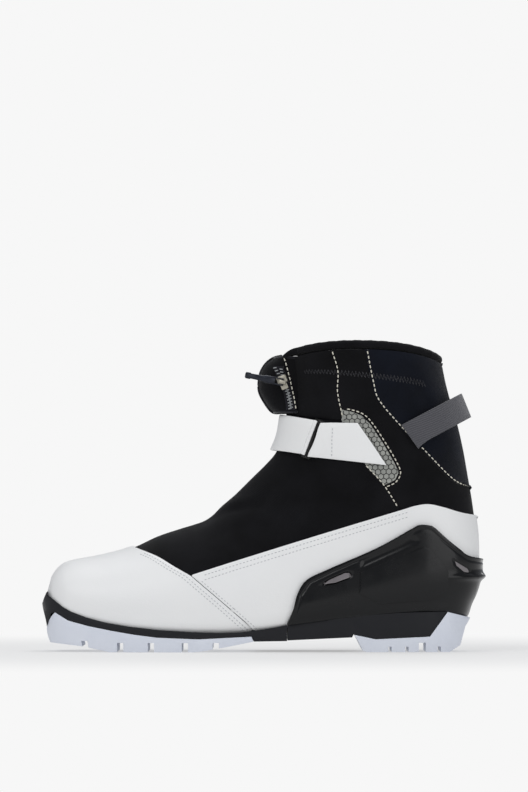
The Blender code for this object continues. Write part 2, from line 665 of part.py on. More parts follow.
def strap():
    edge = RING_HALF_WIDTH + GAP
    ahead = ring_line(-edge, 11.7)
    behind = ring_line(edge, 11.9)
    front = [STRAP_UPPER[0], ahead[0], ahead[1], STRAP_LOWER[1]]
    around = prism("strap_front", front, -FAR, GAP)
    inner_side = [STRAP_UPPER[0], STRAP_UPPER[1], *ANCHOR_TIP, STRAP_LOWER[1]]
    boolean(around, prism("strap_inner_side", inner_side, 0, FAR), "UNION")
    under = layer("instep_strap", STRAP, WHITE_PU)
    boolean(under, around, "INTERSECT")
    panel("strap_anchor", STRAP, [behind[0], *ANCHOR_TIP, behind[1]], WHITE_PU, -FAR, 0)
    outer = [p for line in (ring_line(-RING_HALF_WIDTH, RING_HALF_LENGTH),
                            ring_line(RING_HALF_WIDTH, RING_HALF_LENGTH)[::-1]) for p in line]
    hollow = RING_HALF_WIDTH - RING_BAR
    inner = [p for line in (ring_line(-hollow, RING_HALF_LENGTH - RING_BAR),
                            ring_line(hollow, RING_HALF_LENGTH - RING_BAR)[::-1]) for p in line]
    panel("strap_ring", RING, outer, GREY_METAL, -FAR, 0, [prism("ring_hollow", inner)])
    patch = [(-20, 158.8), ring_line(-edge - 4, 10.2)[0], ring_line(-edge - 4, 10.2)[1], (-20, 137.6)]
    hooks = panel("strap_hook_patch", HOOKS, patch, LINING, -FAR, 8)
    tail = panel("strap_tail", TAIL, front, WHITE_PU, -FAR, 13)
    hinge = side_point(*midpoint(ahead), sum(TAIL) / 2, OUTER)
    with_origin(hooks, hinge)
    with_origin(tail, hinge)


def midpoint(line):
    return tuple((a + b) / 2 for a, b in zip(line[0], line[-1]))


def side_point(x, z, distance, side):
    """The point of the last's surface, at a distance, that side view shows at x, z."""
    bm = last_sheet(distance, closed=True)
    tree = BVHTree.FromBMesh(bm)
    start = Vector((x, side * FAR, z)) * MM
    spot = tree.ray_cast(start, Vector((0, -side, 0)))[0]
    bm.free()
    return spot


# ---------------------------------------------------------------- zip

ZIP_LINE = [(17.9, 157.2), (17.5, 161.5), (16.2, 168), (14.0, 174), (12.0, 179), (10.0, 184)]
SLIDER_AT = 175.2
PULLER_PIVOT = 5.5
PULLER_AXIS = Vector((-0.19, 0, -0.98)).normalized()
PULLER_REST = math.radians(75)  # turned forward from straight out


def on_flap(x, z, distance):
    """A point beyond the outer side of the front flap, and the flap's normal there."""
    rows = np.array(FLAP_FRONT)
    deep = FLAP_BACK - float(np.interp(z, rows[:, 0], rows[:, 1]))
    reach = (FLAP_BACK - x) / deep
    side = (1 - reach ** 2.4) ** (1 / 2.4)
    normal = Vector((-reach ** 1.4 / deep, -side ** 1.4 / FLAP_HALF_WIDTH, 0)).normalized()
    return Vector((x, -FLAP_HALF_WIDTH * side, z)) + normal * distance, normal


def zip_spot(z):
    rows = np.array(ZIP_LINE)
    return on_flap(float(np.interp(z, rows[:, 1], rows[:, 0])), z, 1.5)


def zip_frame():
    """The slider's place, the zip's direction downwards and the surface's normal."""
    middle, out = zip_spot(SLIDER_AT)
    down = (zip_spot(SLIDER_AT - 9)[0] - zip_spot(SLIDER_AT + 5)[0]).normalized()
    out = (out - down * out.dot(down)).normalized()
    return middle * MM, down, out


def zip_strip(name, depths, half_width, finish, low, high):
    """A strip along the zip on the outer side of the front flap."""
    inner, outer = depths
    bm = bmesh.new()
    steps = 8
    rings = []
    for i in range(steps + 1):
        z = low + (high - low) * i / steps
        rows = np.array(ZIP_LINE)
        x = float(np.interp(z, rows[:, 1], rows[:, 0]))
        rings.append([bm.verts.new(on_flap(x + share * half_width, z, outer)[0] * MM)
                      for share in (-1, 0, 1)])
    for first, second in zip(rings, rings[1:]):
        for j in range(2):
            bm.faces.new((first[j], first[j + 1], second[j + 1], second[j]))
    strip = finished(bm, name, finish)
    if strip.data.polygons[0].normal.dot(Vector((0, -1, 0))) < 0:
        strip.data.flip_normals()
    wall = strip.modifiers.new("wall", "SOLIDIFY")
    wall.thickness = (outer - inner) * MM
    wall.offset = -1
    return strip


def oriented(obj, origin, down, out):
    """Places a piece modelled with -Z along the zip and -Y away from the boot."""
    side = out.cross(down).normalized()
    turn = Matrix((side, -out, -down)).transposed()
    obj.data.transform(turn.to_4x4())
    obj.location = origin
    return obj


def zip_parts():
    zip_strip("zip_tape", TAPE, 2.6, FABRIC, 157.6, 184)
    zip_strip("zip_teeth", TEETH, 1.2, GREY_METAL, 158.4, 183.4)
    middle, down, out = zip_frame()
    swivel_out = (out - PULLER_AXIS * out.dot(PULLER_AXIS)).normalized()
    swivel_down = PULLER_AXIS.cross(swivel_out)
    slider = block("zip_slider", (-3.2, -4.6, -4.6), (3.2, -1.4, 4.6), GREY_METAL, bevel=0.9)
    oriented(slider, middle, down, out)
    bridge = block("slider_bridge", (-1.1, -7.4, -2.2), (1.1, -4.1, 2.2))
    oriented(bridge, middle, swivel_down, swivel_out)
    eye = block("slider_eye", (-3, -6.2, -1.2), (3, -4.7, 1.2))
    oriented(eye, middle, swivel_down, swivel_out)
    applied(boolean(boolean(slider, bridge, "UNION"), eye, "DIFFERENCE"))
    puller = block("zip_puller", (-2.6, -30.5, -1.4), (2.6, -11.0, 1.4), GREY_METAL, bevel=0.7)
    boolean(puller, block("puller_frame", (-2.6, -11.4, -0.6), (2.6, -5.1, 0.6)), "UNION")
    boolean(puller, block("puller_eye", (-1.5, -8.9, -2), (1.5, -5.9, 2)), "DIFFERENCE")
    puller = applied(puller)
    puller.data.transform(Matrix.Translation(Vector((0, PULLER_PIVOT, 0)) * MM))
    puller.data.transform(Matrix.Rotation(PULLER_REST, 4, "X"))
    oriented(puller, middle + swivel_out * PULLER_PIVOT * MM, swivel_down, swivel_out)


# ---------------------------------------------------------------- heel pull loop

LOOP_SLOPE = math.radians(28)
LOOP_LEAN = math.radians(22)


def pull_loop():
    """Webbing sewn to both sides of the heel, standing off the back as a finger loop."""
    half = smooth([(92.5, 38.6), (101, 37.8), (110, 34.6), (119, 28.6), (126.4, 18.6),
                   (130.2, 8), (131, 0)], 2)
    path = [(x, -y) for x, y in half] + [(x, y) for x, y in half[-2::-1]]
    bm = bmesh.new()
    rings = []
    for x, y in path:
        z = 139.6 + (x - 92.5) * math.tan(LOOP_SLOPE)
        middle = Vector((x, y, z))
        across = Vector((-math.sin(LOOP_LEAN), 0, math.cos(LOOP_LEAN))) * LOOP_WIDTH / 2
        rings.append([bm.verts.new((middle + across * share) * MM) for share in (-1, 0, 1)])
    for first, second in zip(rings, rings[1:]):
        for j in range(2):
            bm.faces.new((first[j], first[j + 1], second[j + 1], second[j]))
    loop = finished(bm, "pull_loop", WEBBING)
    if loop.data.polygons[0].normal.y > 0:
        loop.data.flip_normals()
    wall = loop.modifiers.new("wall", "SOLIDIFY")
    wall.thickness = LOOP_THICK * MM
    wall.offset = 1
    boolean(loop, last_solid("loop_clearance", 0.3), "DIFFERENCE")
    with_origin(loop, Vector((95, 0, 141)) * MM)


def centred():
    """Puts the origin under the middle of the boot's box."""
    for obj in bpy.data.objects:
        obj.location += Vector((*TO_MIDDLE, 0)) * MM


sole()
inside()
upper_panels()
overlays()
collar_binding()
front_flap()
counter()
strap()
zip_parts()
pull_loop()
centred()
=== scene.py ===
"""Looks of a touring cross country ski boot, built round its fixed frame.

The boot is put together here as a bootmaker does it: the upper is laid over a last, the
overlays and closures go on it, and the sole and counter close it from below. The named
values are millimetres in the foot's own axes; Blender's units are metres.
"""

import math

import bmesh
import bpy
import numpy as np
from mathutils import Matrix, Vector


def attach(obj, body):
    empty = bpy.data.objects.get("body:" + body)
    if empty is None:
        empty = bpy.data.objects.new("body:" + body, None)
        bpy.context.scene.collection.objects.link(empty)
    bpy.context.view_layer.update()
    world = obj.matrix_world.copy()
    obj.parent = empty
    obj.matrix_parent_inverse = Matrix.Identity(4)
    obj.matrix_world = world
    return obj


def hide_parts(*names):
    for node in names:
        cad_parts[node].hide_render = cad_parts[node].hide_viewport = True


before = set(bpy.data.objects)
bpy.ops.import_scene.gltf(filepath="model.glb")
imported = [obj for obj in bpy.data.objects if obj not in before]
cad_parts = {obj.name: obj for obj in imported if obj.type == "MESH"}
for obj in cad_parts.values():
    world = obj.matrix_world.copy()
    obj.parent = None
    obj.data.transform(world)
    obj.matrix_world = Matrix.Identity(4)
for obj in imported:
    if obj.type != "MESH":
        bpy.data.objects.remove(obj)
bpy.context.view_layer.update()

bpy.ops.object.select_all(action="DESELECT")

# ---------------------------------------------------------------- camera
# Level with the boot and square to its outer side, far enough away that the
# near and far sides are drawn almost the same size.
MM = 0.001
CAMERA_AWAY, PICTURE_HEIGHT = 4.5, 518.4
CAMERA_Z, PICTURE_MIDDLE = 85.0, (1.28, 166.9)

bpy.ops.object.camera_add(location=(PICTURE_MIDDLE[0] * MM, -CAMERA_AWAY, CAMERA_Z * MM),
                          rotation=(math.pi / 2, 0, 0))
camera = bpy.context.object
camera.data.lens = camera.data.sensor_width * CAMERA_AWAY / (PICTURE_HEIGHT * MM)
camera.data.shift_y = (PICTURE_MIDDLE[1] - CAMERA_Z) / PICTURE_HEIGHT
camera.data.clip_end = 100
bpy.context.scene.camera = camera

# ---------------------------------------------------------------- studio
# A pale seamless floor and four softboxes. The floor takes its own soft shadow
# close to the boot and fades to the tone of the paper behind it further out.
PAPER = "#F7F7F7"
FLOOR_SIZE = 24.0
FLOOR_FADE = (0.19, 0.7)  # metres from the boot's middle
SOFTBOXES = (  # name, place, size, watts
    ("softbox_key", (-1.1, -1.7, 1.5), 1.5, 19),
    ("softbox_fill", (1.5, -1.8, 0.7), 1.6, 12),
    ("softbox_top", (0.1, 0.25, 1.7), 1.3, 13),
    ("softbox_back", (0.5, 1.9, 1.1), 1.2, 9),
)


def linear(colour):
    """An sRGB hex colour as the linear values a shader takes."""
    parts = [int(colour[i:i + 2], 16) / 255 for i in (1, 3, 5)]
    return [c / 12.92 if c <= 0.04045 else ((c + 0.055) / 1.055) ** 2.4 for c in parts]


def node(tree, kind, inputs=(), **settings):
    """Adds a node with its settings; an input is given a value or another node's output."""
    made = tree.nodes.new(kind)
    for key, value in settings.items():
        setattr(made, key, value)
    for key, value in dict(inputs).items():
        if isinstance(value, bpy.types.NodeSocket):
            tree.links.new(value, made.inputs[key])
        else:
            made.inputs[key].default_value = value
    return made


def finish(name, colour, roughness, **sockets):
    """A Principled material with constants set on its own sockets, and its node tree."""
    made = bpy.data.materials.new(name)
    made.use_nodes = True
    shader = made.node_tree.nodes["Principled BSDF"]
    shader.inputs["Base Color"].default_value = (*linear(colour), 1)
    shader.inputs["Roughness"].default_value = roughness
    for key, value in sockets.items():
        shader.inputs[key.replace("_", " ")].default_value = value
    return made, made.node_tree, shader


world = bpy.data.worlds.new("studio")
world.use_nodes = True
bpy.context.scene.world = world
sky = world.node_tree
surround = node(sky, "ShaderNodeBackground", {"Color": (*linear("#D9DCE2"), 1), "Strength": 0.42})
paper = node(sky, "ShaderNodeBackground", {"Color": (*linear(PAPER), 1)})
seen = node(sky, "ShaderNodeLightPath")
mixed = node(sky, "ShaderNodeMixShader", {0: seen.outputs["Is Camera Ray"],
                                          1: surround.outputs[0], 2: paper.outputs[0]})
sky.links.new(mixed.outputs[0], sky.nodes["World Output"].inputs["Surface"])
bpy.context.scene.view_settings.view_transform = "Standard"

for label, place, size, watts in SOFTBOXES:
    toward = Vector((0, 0, 0.09)) - Vector(place)
    bpy.ops.object.light_add(type="AREA", location=place,
                             rotation=toward.to_track_quat("-Z", "Y").to_euler())
    softbox = bpy.context.object
    softbox.name = label
    softbox.data.size = size
    softbox.data.energy = watts
    softbox.visible_camera = False

bpy.ops.mesh.primitive_plane_add(size=FLOOR_SIZE)
floor = bpy.context.object
floor.name = "studio_floor"
floor_paper, tree, shader = finish("matt_paper", PAPER, 0.95, Specular_IOR_Level=0.0)
place = node(tree, "ShaderNodeTexCoord")
away = node(tree, "ShaderNodeVectorMath", {0: place.outputs["Object"]}, operation="LENGTH")
fade = node(tree, "ShaderNodeMapRange", {"Value": away.outputs["Value"], "From Min": FLOOR_FADE[0],
                                         "From Max": FLOOR_FADE[1]}, interpolation_type="SMOOTHSTEP")
lit = node(tree, "ShaderNodeMix", {0: fade.outputs[0], 6: (0.40, 0.40, 0.40, 1), 7: (0, 0, 0, 1)},
           data_type="RGBA")
glow = node(tree, "ShaderNodeMix", {0: fade.outputs[0], 6: (0.42, 0.42, 0.42, 1),
                                    7: (*linear(PAPER), 1)},
            data_type="RGBA")
tree.links.new(lit.outputs[2], shader.inputs["Base Color"])
tree.links.new(glow.outputs[2], shader.inputs["Emission Color"])
shader.inputs["Emission Strength"].default_value = 1.0
floor.data.materials.append(floor_paper)

# ---------------------------------------------------------------- the last
# The foot-shaped form that the upper is pulled over. It isn't a piece: every panel below is
# a sheet laid on it, from a row (toe to collar) and a place round the row.
STATIONS = np.array([  # top x z, bottom x z, half width, widest height, curve above and below
    (-140.4, 39.5, -139.9, 31.0, 15.0, 0.50, 2.2, 2.2),
    (-138.9, 46.5, -138.0, 24.5, 25.5, 0.42, 2.2, 2.6),
    (-133.4, 54.6, -131.0, 18.8, 33.5, 0.36, 2.2, 3.0),
    (-125.5, 58.6, -120.0, 14.8, 38.5, 0.33, 2.2, 3.4),
    (-106.5, 62.2, -98.0, 11.0, 43.5, 0.30, 2.15, 3.8),
    (-86.8, 67.6, -75.0, 8.9, 46.4, 0.28, 2.1, 4.0),
    (-69.3, 75.6, -50.0, 7.8, 47.2, 0.27, 2.0, 4.0),
    (-54.3, 80.6, -24.0, 8.6, 46.0, 0.26, 1.95, 4.0),
    (-42.4, 84.4, 5.0, 11.2, 43.6, 0.26, 1.9, 4.0),
    (-33.0, 89.9, 35.0, 16.6, 41.2, 0.28, 1.9, 4.0),
    (-21.7, 100.0, 70.0, 22.0, 39.2, 0.30, 1.9, 3.8),
    (-10.2, 111.2, 103.0, 25.0, 37.8, 0.33, 1.95, 3.4),
    (0.3, 121.6, 128.0, 28.8, 36.8, 0.37, 2.0, 3.0),
    (7.4, 129.8, 138.4, 46.0, 36.3, 0.42, 2.0, 2.7),
    (11.4, 138.6, 139.9, 72.0, 36.3, 0.46, 2.05, 2.5),
    (13.4, 147.6, 137.2, 95.0, 36.6, 0.48, 2.1, 2.4),
    (14.4, 157.5, 133.2, 120.0, 37.0, 0.50, 2.2, 2.3),
    (14.6, 168.5, 127.6, 147.0, 37.8, 0.50, 2.2, 2.2),
    (14.2, 180.5, 121.2, 168.5, 38.8, 0.50, 2.2, 2.2),
    (13.4, 189.0, 117.2, 187.6, 39.6, 0.50, 2.2, 2.2),
])
LAST_ROW = len(STATIONS) - 1
TOE_IN, RIM_ARCH, RIM_ROWS = 5.0, 8.2, 3.0
TO_MIDDLE = np.array([1.05, -0.94, 0.0])  # from the foot's axes to the middle of the boot's box
OUTER, INNER = -1, 1


def on_last(row, angle):
    """Points of the last in mm: angle 0 is its top or front line, 180 degrees its sole or back."""
    row, angle = np.broadcast_arrays(np.asarray(row, float), np.asarray(angle, float))
    low = np.clip(row, 0, LAST_ROW - 0.001).astype(int)
    share = (row - low)[..., None]
    before, start = STATIONS[np.maximum(low - 1, 0)], STATIONS[low]
    end, after = STATIONS[low + 1], STATIONS[np.minimum(low + 2, LAST_ROW)]
    section = 0.5 * (2 * start + (end - before) * share
                     + (2 * before - 5 * start + 4 * end - after) * share ** 2
                     + (3 * start - before - 3 * end + after) * share ** 3)
    top_x, top_z, low_x, low_z, half, widest, crown, sole = np.moveaxis(section, -1, 0)
    up, out = np.cos(angle), np.sin(angle)
    power = np.where(up >= 0, crown, sole)
    rise = np.sign(up) * np.abs(up) ** (2 / power)
    side = np.sign(out) * np.abs(out) ** (2 / power)
    level = widest + rise * np.where(rise > 0, 1 - widest, widest)
    fade = np.clip((row - LAST_ROW) / RIM_ROWS + 1, 0, 1)
    x = low_x + (top_x - low_x) * level
    z = low_z + (top_z - low_z) * level + RIM_ARCH * fade ** 2 * np.abs(side) ** 1.6
    return np.stack([x, TOE_IN * (np.maximum(-x, 0) / 140) ** 2 + half * side, z], -1)


def round_ring_table():
    """For every tenth of a row, the angle at each of 100 equal steps of the half ring."""
    angles = np.linspace(0, math.pi, 721)
    rings = on_last(np.linspace(0, LAST_ROW, 10 * LAST_ROW + 1)[:, None], angles)
    gone = np.concatenate([np.zeros((len(rings), 1)),
                           np.cumsum(np.linalg.norm(np.diff(rings, axis=1), axis=2), axis=1)], 1)
    return np.array([np.interp(np.linspace(0, way[-1], 101), way, angles) for way in gone])


RING_ANGLES = round_ring_table()


def angle_at(row, q):
    """The angle at a place q round a row: 0 top, 1 sole or back, minus on the outer side."""
    row, q = np.broadcast_arrays(np.asarray(row, float), np.asarray(q, float))
    folded = np.where(np.abs(q) > 1, 2 - np.abs(q), np.abs(q))
    i, j = np.clip(row, 0, LAST_ROW) * 10, np.clip(folded, 0, 1) * 100
    low_i, low_j = np.minimum(i.astype(int), 10 * LAST_ROW - 1), np.minimum(j.astype(int), 99)
    a, b = i - low_i, j - low_j
    table = RING_ANGLES
    angle = ((1 - a) * (1 - b) * table[low_i, low_j] + a * (1 - b) * table[low_i + 1, low_j]
             + (1 - a) * b * table[low_i, low_j + 1] + a * b * table[low_i + 1, low_j + 1])
    return np.sign(q) * np.where(np.abs(q) > 1, math.tau - angle, angle)


def beyond_last(row, q, depth):
    """The last's surface at a row and place, moved out along its normal."""
    step = 0.03
    angle = angle_at(row, q)
    row = np.clip(row, 0, LAST_ROW)
    along = on_last(np.minimum(row + step, LAST_ROW), angle) - on_last(np.maximum(row - step, 0), angle)
    around = on_last(row, angle + step) - on_last(row, angle - step)
    normal = np.cross(along, around)
    normal /= np.linalg.norm(normal, axis=-1, keepdims=True)
    return on_last(row, angle) + normal * np.asarray(depth)[..., None]


def smooth(points, count):
    """A smooth line through the points, as `count` points at even distances."""
    rows = np.array(points, float)
    ends = np.vstack([2 * rows[0] - rows[1], rows, 2 * rows[-1] - rows[-2]])
    t = np.linspace(0, 1, 12)[:, None]
    pieces = [0.5 * (2 * b + (c - a) * t + (2 * a - 5 * b + 4 * c - d) * t ** 2
                     + (3 * b - a - 3 * c + d) * t ** 3)
              for a, b, c, d in zip(ends, ends[1:], ends[2:], ends[3:])]
    return evenly(np.vstack(pieces), count)


def evenly(line, count):
    """The line as `count` points at even distances along it."""
    line = np.array(line, float)
    way = np.concatenate([[0], np.cumsum(np.linalg.norm(np.diff(line, axis=0), axis=1))])
    at = np.linspace(0, way[-1], count)
    return np.stack([np.interp(at, way, line[:, k]) for k in range(line.shape[1])], 1)


def located(line, depth=0.0, side=OUTER):
    """Side-view points x, z as rows and places on the sheet at a depth."""
    rows, places = np.meshgrid(np.linspace(0, LAST_ROW, 191), np.linspace(0, 1, 81), indexing="ij")
    sheet = beyond_last(rows, places, depth)[..., [0, 2]].reshape(-1, 2)
    spots, most = np.atleast_2d(np.array(line, float)), np.array([LAST_ROW, 1.0])
    nearest = ((sheet[None] - spots[:, None]) ** 2).sum(2).argmin(1)
    at = np.stack([rows.reshape(-1)[nearest], places.reshape(-1)[nearest]], 1)
    for _ in range(6):
        here = beyond_last(at[:, 0], at[:, 1], depth)[:, [0, 2]]
        slope = []
        for step in ((0.02, 0), (0, 0.004)):
            moved = np.where(at + step <= most, at + step, at - step)
            change = (moved - at).sum(1, keepdims=True)
            slope.append((beyond_last(moved[:, 0], moved[:, 1], depth)[:, [0, 2]] - here) / change)
        slope = np.stack(slope, 2)
        square = np.einsum("nki,nkj->nij", slope, slope) + np.diag([0.05, 3.0])
        pull = np.einsum("nki,nk->ni", slope, spots - here)
        at = np.clip(at + np.clip(np.linalg.solve(square, pull[..., None])[..., 0], -0.5, 0.5), 0, most)
    return at * (1, side)


def rows_on_line(places, line, depth=0.0):
    """For each place round the last, the row where the sheet crosses a side-view line z(x)."""
    rows = np.linspace(0, LAST_ROW, 400)
    line = np.array(line, float)
    line = line[np.argsort(line[:, 0])]
    sheet = beyond_last(rows[:, None], np.abs(places)[None], depth)
    above = sheet[..., 2] - np.interp(sheet[..., 0], line[:, 0], line[:, 1])
    found = []
    for column in above.T:
        turn = np.nonzero(np.diff(np.sign(column)))[0]
        i = turn[0] if len(turn) else len(rows) - 2
        found.append(rows[i] + (rows[i + 1] - rows[i]) * column[i] / (column[i] - column[i + 1] + 1e-9))
    return np.clip(np.array(found), 0, LAST_ROW)


def between(low, high, near=None, far=None, count=2):
    """A net of rows and places spanned by two long lines, and two end lines where given."""
    low, high = np.array(low), np.array(high)
    count = len(near) if near is not None else count
    v = np.linspace(0, 1, count)[:, None]
    near = low[0] + (high[0] - low[0]) * v if near is None else np.array(near)
    far = low[-1] + (high[-1] - low[-1]) * v if far is None else np.array(far)
    u, v = np.linspace(0, 1, len(low))[None, :, None], v[:, :, None]
    return ((1 - v) * low[None] + v * high[None] + (1 - u) * near[:, None] + u * far[:, None]
            - (1 - u) * (1 - v) * low[0] - u * (1 - v) * low[-1]
            - (1 - u) * v * high[0] - u * v * high[-1])


def apply_modifiers(obj):
    bpy.ops.object.select_all(action="DESELECT")
    obj.select_set(True)
    bpy.context.view_layer.objects.active = obj
    for change in list(obj.modifiers):
        bpy.ops.object.modifier_apply(modifier=change.name)


def laid_sheet(name, points):
    """A grid laid on a net of points in the foot's axes, with a UV map in metres."""
    deep, wide = points.shape[:2]
    bpy.ops.mesh.primitive_grid_add(x_subdivisions=wide - 1, y_subdivisions=deep - 1, size=2)
    obj = bpy.context.object
    obj.name = name
    flat = np.empty(len(obj.data.vertices) * 3)
    obj.data.vertices.foreach_get("co", flat)
    flat = flat.reshape(-1, 3)
    i = np.rint((flat[:, 0] + 1) / 2 * (wide - 1)).astype(int)
    j = np.rint((flat[:, 1] + 1) / 2 * (deep - 1)).astype(int)
    obj.data.vertices.foreach_set("co", ((points[j, i] + TO_MIDDLE) * MM).reshape(-1))
    length = np.linalg.norm(np.diff(points, axis=1), axis=2).sum(1).mean() * MM
    width = np.linalg.norm(np.diff(points, axis=0), axis=2).sum(0).mean() * MM
    uv = obj.data.uv_layers.active.uv
    spots = np.empty(len(uv) * 2)
    uv.foreach_get("vector", spots)
    uv.foreach_set("vector", (spots.reshape(-1, 2) * (length, width)).reshape(-1))
    obj.data.update()
    return obj


def laid_panel(name, net, inner, outer, material, relief=None, bevel=0.35):
    """A panel of one thickness on the last, with softened edges. Relief adds to its depth."""
    points = beyond_last(net[..., 0], net[..., 1], outer)
    if relief is not None:
        points = beyond_last(net[..., 0], net[..., 1], outer + relief(points))
    obj = laid_sheet(name, points)
    spot = obj.data.polygons[len(obj.data.polygons) // 2 + points.shape[1] // 2]
    inside = beyond_last(net[..., 0], net[..., 1], -5.0).reshape(-1, 3)
    surface = (points.reshape(-1, 3) + TO_MIDDLE) * MM
    nearest = np.argmin(np.linalg.norm(surface - np.array(spot.center), axis=1))
    inward = Vector((inside[nearest] + TO_MIDDLE) * MM)
    if spot.normal.dot(spot.center - inward) < 0:
        obj.data.flip_normals()
    wall = obj.modifiers.new("wall", "SOLIDIFY")
    wall.thickness, wall.offset = (outer - inner) * MM, -1
    if bevel:
        edge = obj.modifiers.new("edge", "BEVEL")
        edge.width, edge.segments, edge.limit_method = bevel * MM, 2, "ANGLE"
        edge.angle_limit = math.radians(50)
    apply_modifiers(obj)
    bpy.ops.object.shade_smooth_by_angle(angle=math.radians(50))
    obj.data.materials.append(material)
    return obj

# ---------------------------------------------------------------- gaiter and shaft
# Black softshell: a close twill face bonded to fleece, cut in panels and sewn. It is pulled
# over the last, so it is taut at the toe and creases a little where the foot bends.
SKIN = (-1.8, -0.5)
FEATHER = [(-150, 33), (-138, 27), (-130, 21.5), (-118, 17.2), (-98, 13.6), (-75, 11.5),
           (-50, 10.6), (-24, 11.4), (5, 14.0), (35, 19.2), (70, 24.6), (105, 27.8),
           (130, 32), (150, 36)]
COLLAR_SEAM = [(42.1, 201), (42.6, 197), (48.2, 182.5), (48.0, 168.8), (51.3, 152.5),
               (57.0, 137), (65.8, 121.9), (78.2, 108.2), (88.5, 92.3), (95, 60)]
HEEL_SEAM = [(65.2, 201), (65.8, 196), (70, 175.7), (74, 163.2), (89.2, 145.4),
             (101.6, 132.9), (122.3, 112.3), (135.4, 107)]
WINDOW = [(51.6, 157), (56.5, 156.2), (63.6, 153.4), (69.3, 147.7), (77.8, 134.9),
          (84.9, 122.8), (87.6, 116.6), (84.9, 111.5), (79.4, 108.6)]
GAITER_TOP = 150.0
THROAT_HALF_WIDTH = 20.3
CREASES = (  # start and end in side view, depth and half width in mm
    ((-43, 82), (2, 98), 0.9, 3.4),
    ((-20, 93), (33, 99), 0.7, 3.6),
    ((-30, 76), (28, 84), 0.35, 4.5),
    ((52, 172), (66, 158), 0.5, 4.0),
    ((20, 168), (44, 150), 0.45, 5.0),
    ((90, 186), (112, 150), 0.5, 6.0),
)


def twill_cloth(name, colour, high_colour, sheen, thread_mm=0.55):
    """A close woven face: diagonal twill lines, the cloth's slow tone changes and fibre fuzz."""
    made, tree, shader = finish(name, colour, 0.92, Specular_IOR_Level=0.12,
                                Sheen_Weight=sheen, Sheen_Roughness=0.45)
    where = node(tree, "ShaderNodeTexCoord")
    tone = node(tree, "ShaderNodeTexNoise", {"Vector": where.outputs["Object"], "Scale": 38.0,
                                             "Detail": 3.0, "Roughness": 0.55})
    blend = node(tree, "ShaderNodeValToRGB", {0: tone.outputs["Fac"]})
    blend.color_ramp.elements[0].color = (*linear(colour), 1)
    blend.color_ramp.elements[1].color = (*linear(high_colour), 1)
    blend.color_ramp.elements[0].position, blend.color_ramp.elements[1].position = 0.35, 0.7
    weave = node(tree, "ShaderNodeTexWave", {"Vector": where.outputs["UV"], "Distortion": 0.6,
                                             "Detail": 1.0, "Detail Scale": 900.0,
                                             "Scale": 1000 / thread_mm / 10 * 3.14},
                 bands_direction="DIAGONAL")
    fuzz = node(tree, "ShaderNodeTexNoise", {"Vector": where.outputs["Object"], "Scale": 1900.0,
                                             "Detail": 2.0})
    height = node(tree, "ShaderNodeMath", {0: weave.outputs["Fac"], 1: fuzz.outputs["Fac"]},
                  operation="ADD")
    bump = node(tree, "ShaderNodeBump", {"Height": height.outputs[0], "Strength": 0.45,
                                         "Distance": 0.00025})
    tree.links.new(blend.outputs[0], shader.inputs["Base Color"])
    tree.links.new(bump.outputs[0], shader.inputs["Normal"])
    return made


softshell = twill_cloth("softshell_twill", "#0B0B0D", "#131316", 0.06)
heel_cloth = twill_cloth("heel_stretch_cloth", "#0A0D15", "#111520", 0.10, thread_mm=0.4)


def creased(points):
    """How far creases and the cloth's slight unevenness move each point, in mm."""
    x, y, z = np.moveaxis(points, -1, 0)
    move = 0.14 * np.sin(x / 9 + z / 13) * np.sin(z / 8 - x / 21 + y / 17)
    for (x1, z1), (x2, z2), depth, width in CREASES:
        run = np.array([x2 - x1, z2 - z1], float)
        length = np.hypot(*run)
        along = ((x - x1) * run[0] + (z - z1) * run[1]) / length ** 2
        off = ((x - x1) * run[1] - (z - z1) * run[0]) / length + 2.5 * np.sin(along * 4.1)
        fall = np.clip(np.minimum(along + 0.1, 1.1 - along) * 5, 0, 1)
        fall = fall * fall * (3 - 2 * fall)
        swell = 0.8 * np.exp(-((off + width) / width) ** 2)
        move = move + fall * depth * (swell - np.exp(-(off / width * 1.5) ** 2))
    return move


def seam_dip(net, width=0.9, deep=0.5):
    """Turns a panel's own edges in a little, so that a sewn seam shows as a groove."""
    def move(points):
        def from_end(axis):
            step = np.linalg.norm(np.diff(points, axis=axis), axis=2)
            way = np.cumsum(np.insert(step, 0, 0, axis=axis), axis=axis)
            whole = way[:, -1:] if axis else way[-1:]
            return np.minimum(way, whole - way)
        near = np.minimum(from_end(0), from_end(1))
        return creased(points) - deep * np.exp(-(near / width) ** 2)
    return move


def mirrored(net):
    return net * (1, -1)


def cut(line, keep):
    return [p for p in line if keep(*p)]


seam = smooth(COLLAR_SEAM, 120)
low_seam = evenly(cut(seam, lambda x, z: z < GAITER_TOP), 70)[::-1]
high_seam = evenly(cut(seam, lambda x, z: z > GAITER_TOP), 60)[::-1]
feather = smooth(FEATHER, 200)
edge = np.vstack([located(evenly(cut(feather, lambda x, z: x < 92), 70), SKIN[1])[:-1],
                  located(evenly(np.vstack([(94, 40), low_seam]), 60), SKIN[1])])
edge[:, 0] = np.maximum.accumulate(edge[:, 0])
across = np.linspace(-1, 1, 97)[:, None]
front_rows = edge[:, 0].copy()
front_rows[-40:] += (15.3 - front_rows[-1]) * np.linspace(0, 1, 40) ** 2
gaiter_net = np.stack([front_rows + (edge[:, 0] - front_rows) * across ** 2,
                       np.abs(edge[:, 1]) * across], -1)
gaiter = laid_panel("softshell_gaiter", gaiter_net, *SKIN, softshell, creased)
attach(gaiter, "boot")
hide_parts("gaiter")


def throat_place(rows, depth=0.0, half=THROAT_HALF_WIDTH):
    """The place round each row that is the throat's half width from the middle."""
    places = np.linspace(0, 0.5, 60)
    width = np.abs(beyond_last(np.asarray(rows)[:, None], places, depth)[..., 1])
    return np.array([np.interp(half, w, places) for w in width])


